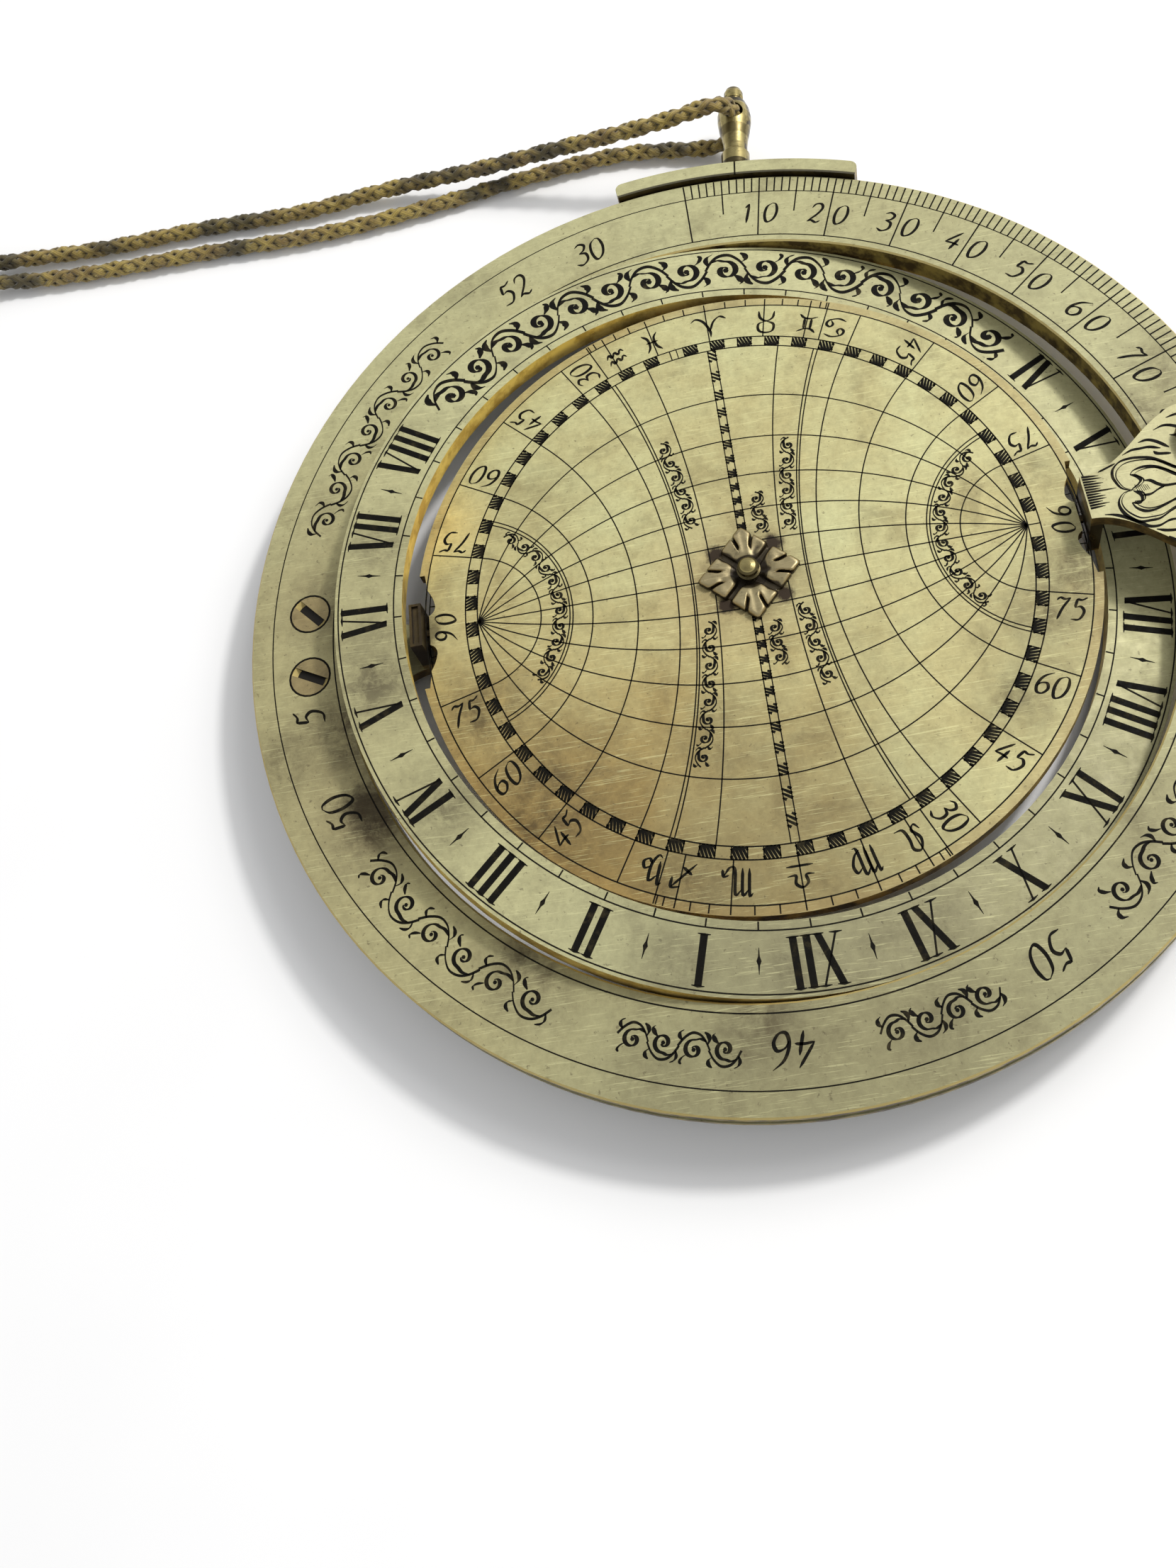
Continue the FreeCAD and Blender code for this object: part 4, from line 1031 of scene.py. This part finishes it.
def make_rosette():
    """A square flower of four three-lobed petals, chased with grooves, its edge rounded off."""
    base, top = low("rosette_washer").z, high("rosette_washer").z
    thick = top - base
    pick = random.Random(4)
    hammer = [(polar(pick.uniform(1.5, 7.0), pick.uniform(0, 360)), pick.uniform(0.4, 0.9),
               pick.uniform(-0.26, 0.12)) for _ in range(60)]
    around, rings = 288, 16
    points, faces = [], []

    def height(place, share, turn, radius):
        cut = 0.95 * math.exp(-((abs(turn) - 45) * radius * DEGREE_ARC / 0.42) ** 2) * min(1, share * 3)
        if share > 0.66:
            lean = 14 + 6 * (share - 1.0)
            cut = max(cut, 0.85 * math.exp(-((abs(turn) - lean) * radius * DEGREE_ARC / 0.16) ** 2))
        vein = 0.10 * math.exp(-(turn * radius * DEGREE_ARC / 0.5) ** 2)
        dome = 0.96 - 0.05 * abs(share - 0.5) - 0.22 * (abs(turn) / 45) ** 2
        dome -= 0.50 * math.exp(-((radius - 1.6) / 0.8) ** 2)
        dome += sum(depth * math.exp(-((place - at).length / size) ** 2) for at, size, depth in hammer)
        edge = 1.0 - max(0.0, (share - 0.93) / 0.07) ** 2 * 0.30
        return base + thick * max(0.10, min(1.0, (dome - cut - vein) * edge))

    for ring in range(rings + 1):
        share = 0.10 + 0.90 * ring / rings
        for step in range(around):
            angle = 360.0 * step / around
            turn = (angle + 45) % 90 - 45
            radius = rosette_outline(turn) * share
            place = polar(radius, angle + ROSETTE_TURN_DEG)
            points.append(Vector((place.x, place.y, height(place, share, turn, radius))))
    rim = len(points)
    for step in range(around):
        edge = points[rim - around + step]
        points.append(Vector((edge.x, edge.y, base)))
    for ring in range(rings + 1):
        for step in range(around):
            after = (step + 1) % around
            faces.append((ring * around + step, (ring + 1) * around + step,
                          (ring + 1) * around + after, ring * around + after))
    faces.append(tuple(range(around)))
    faces.append(tuple(rim + step for step in reversed(range(around))))
    piece = add_piece("rosette", [p * MM for p in points], faces, ROSETTE, "alidade", True)
    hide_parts("rosette_washer")


# ---- cord -----------------------------------------------------------------------------------------
HOLE = polar(HOLE_R, SLIDER_DEG)
UPPER_ROUTE = [(HOLE.x, HOLE.y, PIVOT_Z), (10.7, 89.3, 12.0), (7.4, 88.4, 14.1), (0.8, 87.6, 13.4),
               (-8.6, 88.4, 11.5), (-20.6, 90.4, 8.6), (-36.4, 92.6, 4.9), (-53.2, 94.9, 2.2),
               (-70.0, 93.4, 1.6), (-88.6, 94.7, 1.6), (-107.6, 94.2, 1.6), (-124.8, 95.6, 1.8),
               (-134.4, 94.6, 3.2)]
LOWER_ROUTE = [(HOLE.x, HOLE.y, PIVOT_Z), (10.3, 89.5, 4.0), (7.4, 89.5, 1.9), (0.6, 90.9, 1.7),
               (-9.6, 93.0, 1.6), (-24.4, 92.1, 1.6), (-45.2, 89.1, 1.6), (-66.4, 87.3, 1.6),
               (-88.2, 88.7, 1.6), (-107.8, 88.8, 1.6), (-124.6, 90.0, 1.8), (-134.4, 91.4, 3.2)]
KNOT_AT = Vector((-140.2, 93.0, 4.4))


def nurbs_line(name, route, resolution=24):
    """The points of a smooth NURBS line whose control points are the route, in millimetres."""
    curve = bpy.data.curves.new(name, "CURVE")
    curve.dimensions = "3D"
    spline = curve.splines.new("NURBS")
    spline.points.add(len(route) - 1)
    for point, place in zip(spline.points, route):
        point.co = (*place, 1.0)
    spline.order_u = 3
    spline.use_endpoint_u = True
    spline.resolution_u = resolution
    holder = bpy.data.objects.new(name, curve)
    mesh = bpy.data.meshes.new_from_object(holder)
    points = [v.co.copy() for v in mesh.vertices]
    bpy.data.objects.remove(holder)
    bpy.data.meshes.remove(mesh)
    return points


def carried_frames(line):
    """For each point of a line: its tangent and two normals that turn as little as they can."""
    frames, normal = [], None
    for i, p in enumerate(line):
        along = (line[min(i + 1, len(line) - 1)] - line[max(i - 1, 0)]).normalized()
        if normal is None:
            normal = along.cross(Vector((0, 1, 0.2))).normalized()
        normal = (normal - along * normal.dot(along)).normalized()
        frames.append((p, along, normal, along.cross(normal)))
    return frames


BRAID_PITCH = 11.6
BRAID_R = 0.96
BRAID_WEAVE = 0.24
STRAND_THICK = 0.40
STRAND_WIDE = 0.60
CORE_R = 0.86
STRANDS_EACH_WAY = 4
TUBE_SIDES = 8


def close_tube(first, rows, faces, turned):
    """Faces of a closed tube whose rows of points start at first; turned swaps which way they look."""
    for i in range(rows - 1):
        for k in range(TUBE_SIDES):
            j = (k + 1) % TUBE_SIDES
            a, b = first + i * TUBE_SIDES, first + (i + 1) * TUBE_SIDES
            faces.append((a + k, b + k, b + j, a + j) if turned else (a + k, a + j, b + j, b + k))
    start = tuple(range(first, first + TUBE_SIDES))
    end = tuple(range(first + (rows - 1) * TUBE_SIDES, first + rows * TUBE_SIDES))
    faces.extend((start, end[::-1]) if turned else (start[::-1], end))


def braid_mesh(line, points, faces, uvs):
    """Eight flat strands, four each way round, that pass over and under each other along a line."""
    frames = carried_frames(line)
    run = [0.0]
    for a, b in zip(line, line[1:]):
        run.append(run[-1] + (b - a).length)
    for way in (1, -1):
        phase = 0 if way > 0 else math.pi
        for strand in range(STRANDS_EACH_WAY):
            first = len(points)
            for (p, along, nx, ny), s in zip(frames, run):
                turn = 2 * math.pi * (way * s / BRAID_PITCH + strand / STRANDS_EACH_WAY)
                weave = math.cos(4 * math.pi * 2 * s / BRAID_PITCH + phase + strand * math.pi)
                out = nx * math.cos(turn) + ny * math.sin(turn)
                middle = p + out * (BRAID_R + BRAID_WEAVE * weave)
                lean = math.atan(2 * math.pi * BRAID_R / BRAID_PITCH) * way
                across = (along.cross(out) * -1).normalized()
                across = across * math.cos(lean) + along * math.sin(lean)
                for k in range(TUBE_SIDES):
                    a = 2 * math.pi * k / TUBE_SIDES
                    points.append(middle + out * math.cos(a) * STRAND_THICK
                                  + across * math.sin(a) * STRAND_WIDE)
                    uvs.append((s * 0.5, 0.5 + 0.5 * math.cos(a)))
            close_tube(first, len(frames), faces, True)
    core_tube(frames, points, faces, uvs)


def core_tube(frames, points, faces, uvs):
    """The plain core that closes the gaps between the strands."""
    first = len(points)
    for p, _, nx, ny in frames:
        for k in range(TUBE_SIDES):
            a = 2 * math.pi * k / TUBE_SIDES
            points.append(p + (nx * math.cos(a) + ny * math.sin(a)) * CORE_R)
            uvs.append((0.0, 0.0))
    close_tube(first, len(frames), faces, False)


def braided_piece(name, lines):
    """One mesh of braided cord along one or more lines, with UVs along its strands."""
    points, faces, uvs = [], [], []
    for line in lines:
        braid_mesh(line, points, faces, uvs)
    piece = add_piece(name, [p * MM for p in points], faces, SILK, "swivel", True)
    layer = piece.data.uv_layers.new(name="along")
    for loop in piece.data.loops:
        layer.data[loop.index].uv = uvs[loop.vertex_index]
    return piece


def knot():
    """A wound knot of two turns of cord over the strands, with two short tails."""
    turns, steps, half_length, winding_r = 2.3, 40, 4.6, 2.62
    wound = []
    for i in range(steps + 1):
        share = i / steps
        angle = 2 * math.pi * turns * share + 0.6
        wound.append((KNOT_AT.x + (half_length - 2 * half_length * share),
                      KNOT_AT.y + winding_r * math.cos(angle), KNOT_AT.z + winding_r * math.sin(angle)))
    core = [(-134.4, 93.0, 3.6), (-137.0, 93.0, 4.3), (-142.8, 93.0, 4.3), (-146.3, 93.2, 3.8)]
    tails = [[(-145.3, 93.3, 3.9), (-148.0, 94.1, 3.0), (-150.2, 94.9, 2.3), (-152.0, 95.6, 1.9)],
             [(-145.3, 92.7, 3.9), (-147.6, 91.8, 3.0), (-149.4, 91.1, 2.3), (-150.9, 90.5, 1.9)]]
    lines = [nurbs_line("knot_line", route, 10) for route in [wound, core] + tails]
    return braided_piece("cord_knot_wound", lines)


def make_cords():
    """Both strands of the cord's loop and the knot that closes it."""
    knot_piece = knot()
    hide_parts("cord_knot")
    for name, route in (("cord_upper", UPPER_ROUTE), ("cord_lower", LOWER_ROUTE)):
        line = nurbs_line(name + "_line", route)
        piece = braided_piece(name + "_braid", [line])
        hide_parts(name)
        length = sum((b - a).length for a, b in zip(line, line[1:])) * MM
        [c * MM for c in line[0]]


# ---- floor, light and camera ----------------------------------------------------------------------
def make_floor():
    """A plain pale floor, a hair under the instrument."""
    half_side_m, gap_m = 3.0, 0.0001
    corners = [(-half_side_m, -half_side_m, 0), (half_side_m, -half_side_m, 0),
               (half_side_m, half_side_m, 0), (-half_side_m, half_side_m, 0)]
    mesh = bpy.data.meshes.new("floor")
    mesh.from_pydata(corners, [], [(0, 1, 2, 3)])
    floor = bpy.data.objects.new("floor", mesh)
    floor.location.z = -gap_m
    bpy.context.scene.collection.objects.link(floor)
    mesh.materials.append(studio_floor())


def area_light(name, place, target, size, watts, colour):
    """A round lamp that faces a target; its places and size are in metres."""
    data = bpy.data.lights.new(name, "AREA")
    data.shape = "DISK"
    data.size = size
    data.energy = watts
    data.color = colour
    lamp = bpy.data.objects.new(name, data)
    lamp.location = place
    lamp.rotation_mode = "QUATERNION"
    lamp.rotation_quaternion = (Vector(target) - Vector(place)).to_track_quat("-Z", "Y")
    bpy.context.scene.collection.objects.link(lamp)


def sky(world):
    """Soft light that dies away towards the horizon, and is shaded right overhead."""
    tree = world.node_tree
    coords, split, product = (tree.nodes.new("ShaderNode" + kind)
                              for kind in ("TexCoord", "SeparateXYZ", "Math"))
    product.operation = "MULTIPLY"
    tree.links.new(coords.outputs["Generated"], split.inputs[0])
    for socket, ramp in enumerate((SKY_RISE, SKY_SHADE)):
        fade = tree.nodes.new("ShaderNodeMapRange")
        tree.links.new(split.outputs["Z"], fade.inputs["Value"])
        for name, amount in zip(("From Min", "From Max", "To Min", "To Max"), ramp):
            fade.inputs[name].default_value = amount
        tree.links.new(fade.outputs["Result"], product.inputs[socket])
    background = tree.nodes["Background"]
    background.inputs["Color"].default_value = (0.98, 0.99, 1.0, 1.0)
    tree.links.new(product.outputs[0], background.inputs["Strength"])


# The sky's strength by the height of its direction: from, to, strength there and strength there.
SKY_RISE = (0.03, 0.50, 0.36, 0.78)
SKY_SHADE = (0.72, 0.97, 1.0, 0.45)

# The key light: the side it comes from and its height in degrees, and its distance in metres.
KEY_FROM_DEG, KEY_UP_DEG, KEY_AWAY_M = 32.0, 47.0, 1.1
KEY_COLOUR = (1.0, 0.985, 0.96)


def make_light():
    """A soft sky, and one key light from the right and above with a hard and a soft part."""
    world = bpy.data.worlds.new("studio")
    world.use_nodes = True
    sky(world)
    bpy.context.scene.world = world
    ground = polar(KEY_AWAY_M * math.cos(math.radians(KEY_UP_DEG)), KEY_FROM_DEG)
    place = (ground.x, ground.y, KEY_AWAY_M * math.sin(math.radians(KEY_UP_DEG)))
    for name, size_m, watts in (("key", 0.13, 6.0), ("key_softbox", 0.60, 4.4)):
        area_light(name, place, (0, 0, 0), size_m, watts, KEY_COLOUR)
    bpy.context.scene.view_settings.view_transform = "Standard"


CAMERA_AT = Vector((3.8, -109.7, 217.5))
CAMERA_AIM = Vector((-13.3, 21.2, 8.0))
CAMERA_ROLL_DEG = -16.6
CAMERA_LENS = 36.9
CAMERA_SHIFT = (-0.036, -0.199)


def make_camera():
    """Looks down at the instrument from its lower edge, turned a little, with a small shift."""
    data = bpy.data.cameras.new("camera")
    data.lens = CAMERA_LENS
    data.shift_x, data.shift_y = CAMERA_SHIFT
    camera = bpy.data.objects.new("camera", data)
    camera.location = CAMERA_AT * MM
    camera.rotation_mode = "QUATERNION"
    look = (CAMERA_AIM - CAMERA_AT).to_track_quat("-Z", "Y")
    camera.rotation_quaternion = look @ Quaternion((0, 0, 1), math.radians(CAMERA_ROLL_DEG))
    bpy.context.scene.collection.objects.link(camera)
    data.clip_start = 0.01
    bpy.context.scene.camera = camera


# ---- the scene ------------------------------------------------------------------------------------
BLACK = engraver_black()
SILK = silk("braided_silk")
# Near-black: soot in the hollows of the rosette, the finial and the pin, and painted shade on the slider's
# inner wall and the bracket legs.
SOOT_AND_PAINTED_SHADE = (0.020, 0.014, 0.008)
ROSETTE = brass("rosette_brass", (0.36, 0.305, 0.165), (0.27, 0.20, 0.10), SOOT_AND_PAINTED_SHADE, rough=0.40, metallic=0.55,
                wall=(0.20, 0.14, 0.05), wall_dark=SOOT_AND_PAINTED_SHADE, soil_amount=3.2,
                bands=((0.0, 2.7, SOOT_AND_PAINTED_SHADE, 0.85),), height_bands=((9.0, 9.78, SOOT_AND_PAINTED_SHADE, 0.92),))


def ring_brass():
    """Greenish brass, sooty along its left and lower sides, darker towards its right and lower sides as
    painted shade, with a black band of painted shade on the slider's inner wall by the ring's rim.
    """
    dark = (0.080, 0.060, 0.030)
    return brass(
        "meridian_brass", (0.50, 0.485, 0.262), (0.425, 0.385, 0.195), dark,
        wall=(0.36, 0.27, 0.085), warmth=((-66, -30, 10), 12, 70),
        # The three dark tints are painted shade towards the right and lower sides; the two brown ones are
        # the metal's own tone.
        tints_and_painted_light=(((56, 40, 10), 14, 60, 0.20, dark), ((40, -60, 10), 10, 52, 0.38, dark),
               ((-8, -72, 10), 8, 40, 0.40, dark), ((-60, -28, 10), 3, 14, 0.22, (0.24, 0.18, 0.090)),
               ((-66, 10, 10), 2, 14, 0.25, (0.30, 0.23, 0.110))),
        stains=(((-60, -14, 10), 1, 11, 1.0), ((-57, -29, 10), 1, 9, 1.0), ((-63, 6, 10), 1, 9, 0.7),
                ((-36, -51, 10), 2, 11, 0.8), ((60, 10, 10), 2, 14, 0.9), ((-8, -63, 10), 1, 10, 0.8),
                ((-70, -17, 10), 1, 9, 0.7), ((-22, -68, 10), 0.5, 8, 0.5), ((14, -66, 10), 1, 10, 0.5),
                ((-39, 62, 10), 1, 8, 0.4), ((66, 22, 10), 1, 10, 0.6)),
        blots=(((-57.5, -26, 10), 1, 7, 0.8), ((-35.9, -66.4, 10), 0.3, 1.1, 1.0),
               ((-38, -50, 10), 0.5, 4, 0.5)),
        # Painted shade: a black band on the slider's inner wall and in its gap beside the ring's rim.
        bands=((75.14, 75.55, SOOT_AND_PAINTED_SHADE, 0.9),))


def hour_brass():
    """Greenish brass with bright gold walls, partly polished metal and partly a painted reflection, and
    darker towards its lower and right sides as painted shade.
    """
    dark = (0.080, 0.064, 0.034)
    return brass(
        "hour_brass", (0.505, 0.49, 0.265), (0.425, 0.395, 0.205), dark,
        # The bright gold walls are partly polished metal and partly a painted reflection.
        wall=(1.0, 0.78, 0.25), wall_dark=(0.66, 0.46, 0.12), warmth=((-56, -10, 14), 8, 50),
        # The three dark tints are painted shade towards the right and lower sides.
        tints_and_painted_light=(((54, 26, 6), 10, 48, 0.10, dark), ((40, -40, 6), 8, 34, 0.40, dark),
               ((0, -57, 8), 10, 40, 0.54, dark)),
        stains=(((-55, -10, 14), 1, 10, 0.9), ((-46, -30, 12), 1, 9, 0.9), ((-54, 12, 14), 1, 8, 0.7),
                ((-2, -57, 8), 0.5, 6, 0.9), ((54, 3, 4), 1, 8, 0.5), ((30, 47, 8), 1, 8, 0.4),
                ((-18, -55, 10), 1, 7, 0.7), ((-54, -3, 14), 0.5, 6, 0.6), ((16, -54, 8), 0.5, 7, 0.5)))


def plate_brass():
    """Yellower brass, brown towards its lower left, darker towards its right and bottom as painted shade,
    with a painted reflection of gold on the limb at the left, tarnish and painted shade round the rosette,
    and tarnish at the rim.
    """
    dark = (0.066, 0.044, 0.018)
    # Near-black blots in the notches beside the rosette: tarnish and painted shade.
    beside_rosette = tuple(((*polar(6.1, turn), 9), 0.5, 2.3, 1.0) for turn in (47, 137, 227, 317))
    return brass(
        "plate_brass", (0.575, 0.560, 0.290), (0.425, 0.310, 0.110), dark,
        wall=(0.40, 0.27, 0.08), wall_dark=(0.08, 0.052, 0.020), warmth=((-30, -36, 9), 6, 50),
        rims=((48.75, 51.0, (0.40, 0.285, 0.11), 0.45),),
        # Of the tints, the two dark ones are painted shade towards the right and the bottom, and the bright
        # gold one on the limb at the left is a painted reflection of the hour ring's wall; the others are
        # the metal's own tone.
        tints_and_painted_light=(((44, -16, 9), 6, 22, 0.26, dark), ((0, -48, 9), 8, 34, 0.42, dark),
               ((-34, -36, 9), 4, 22, 0.30, (0.15, 0.10, 0.035)),
               ((-3, 0, 9), 5, 15, 0.45, (0.46, 0.32, 0.14)),
               ((-45.5, 17, 9), 1, 9, 0.75, (0.80, 0.62, 0.22))),
        stains=(((-34, -30, 9), 2, 20, 0.85), ((-41, -15, 9), 1, 12, 0.8), ((-16, -44, 9), 1, 12, 0.7),
                ((45, -9, 9), 1, 9, 0.8), ((43, 8, 9), 1, 7, 0.55), ((0, 0, 9), 5, 12, 0.5),
                ((14, -16, 9), 1, 9, 0.25), ((-8, -24, 9), 1, 12, 0.5), ((39, -14, 9), 1, 7, 0.7),
                ((33, -26, 9), 1, 8, 0.6), ((-30, 20, 9), 1, 10, 0.35)),
        blots=beside_rosette + (((-48.5, 0, 9), 1.5, 4, 0.6),))


def finial_brass():
    """Dark turned metal: sooty in the grooves, rubbed bright on the beads."""
    return brass(
        "finial_brass", (0.33, 0.28, 0.12), (0.26, 0.19, 0.075), (0.022, 0.016, 0.008),
        wall=(0.34, 0.28, 0.115), wall_dark=(0.045, 0.032, 0.014), wall_mm=1.6,
        bands=((75.0, 77.4, (0.34, 0.20, 0.115), 0.75), (78.0, 79.6, SOOT_AND_PAINTED_SHADE, 0.85),
               (85.6, 87.4, (0.05, 0.036, 0.016), 0.55), (92.6, 94.6, SOOT_AND_PAINTED_SHADE, 0.88),
               (96.4, 98.0, (0.07, 0.052, 0.022), 0.6), (1.25, 2.2, SOOT_AND_PAINTED_SHADE, 0.8)),
        soil_amount=2.2, rough=0.30, metallic=0.85)


def finish_metal():
    """Gives each CAD piece its own aged brass."""
    fitting = brass(
        "bracket_brass", (0.50, 0.475, 0.26), (0.435, 0.40, 0.205), (0.10, 0.072, 0.035),
        # The bracket legs between the rings go near-black by height, and the south leg by the plate's edge
        # too: patina and painted shade.
        wall=(0.26, 0.17, 0.055), tints_and_painted_light=(((-50.5, 0, 10), 5, 8, 0.97, SOOT_AND_PAINTED_SHADE),),
        height_bands=((4.9, 11.9, SOOT_AND_PAINTED_SHADE, 0.9),))
    slotted = brass(
        "screw_brass", (0.34, 0.275, 0.13), (0.25, 0.18, 0.08), (0.05, 0.036, 0.018),
        wall=(0.24, 0.17, 0.065), soil_amount=1.8, rough=0.36, black_slots=True)
    dark = brass(
        "dark_brass", (0.10, 0.075, 0.040), (0.06, 0.045, 0.022), (0.014, 0.010, 0.006),
        wall=(0.09, 0.062, 0.028), wall_dark=(0.014, 0.010, 0.006), rough=0.36, metallic=0.8)
    by_slot = {"ring_brass": ring_brass(), "hour_brass": hour_brass(), "plate_brass": plate_brass(),
               "bracket_brass": fitting, "screw_brass": slotted, "dark_brass": dark,
               "finial_brass": finial_brass(), "cord": SILK}
    for part in frame["record"]["subparts"]:
        node = frame["nodes"][part["node"]]
        for place in node.material_slots:
            place.material = by_slot[part["material_slot"]]


finish_metal()
engrave_meridian_ring()
engrave_hour_ring()
engrave_plate()
engrave_brackets()
back_borders()
outlined_screws()
slider_index()
alidade_lines()
make_rosette()
make_cords()
make_floor()
make_light()
make_camera()
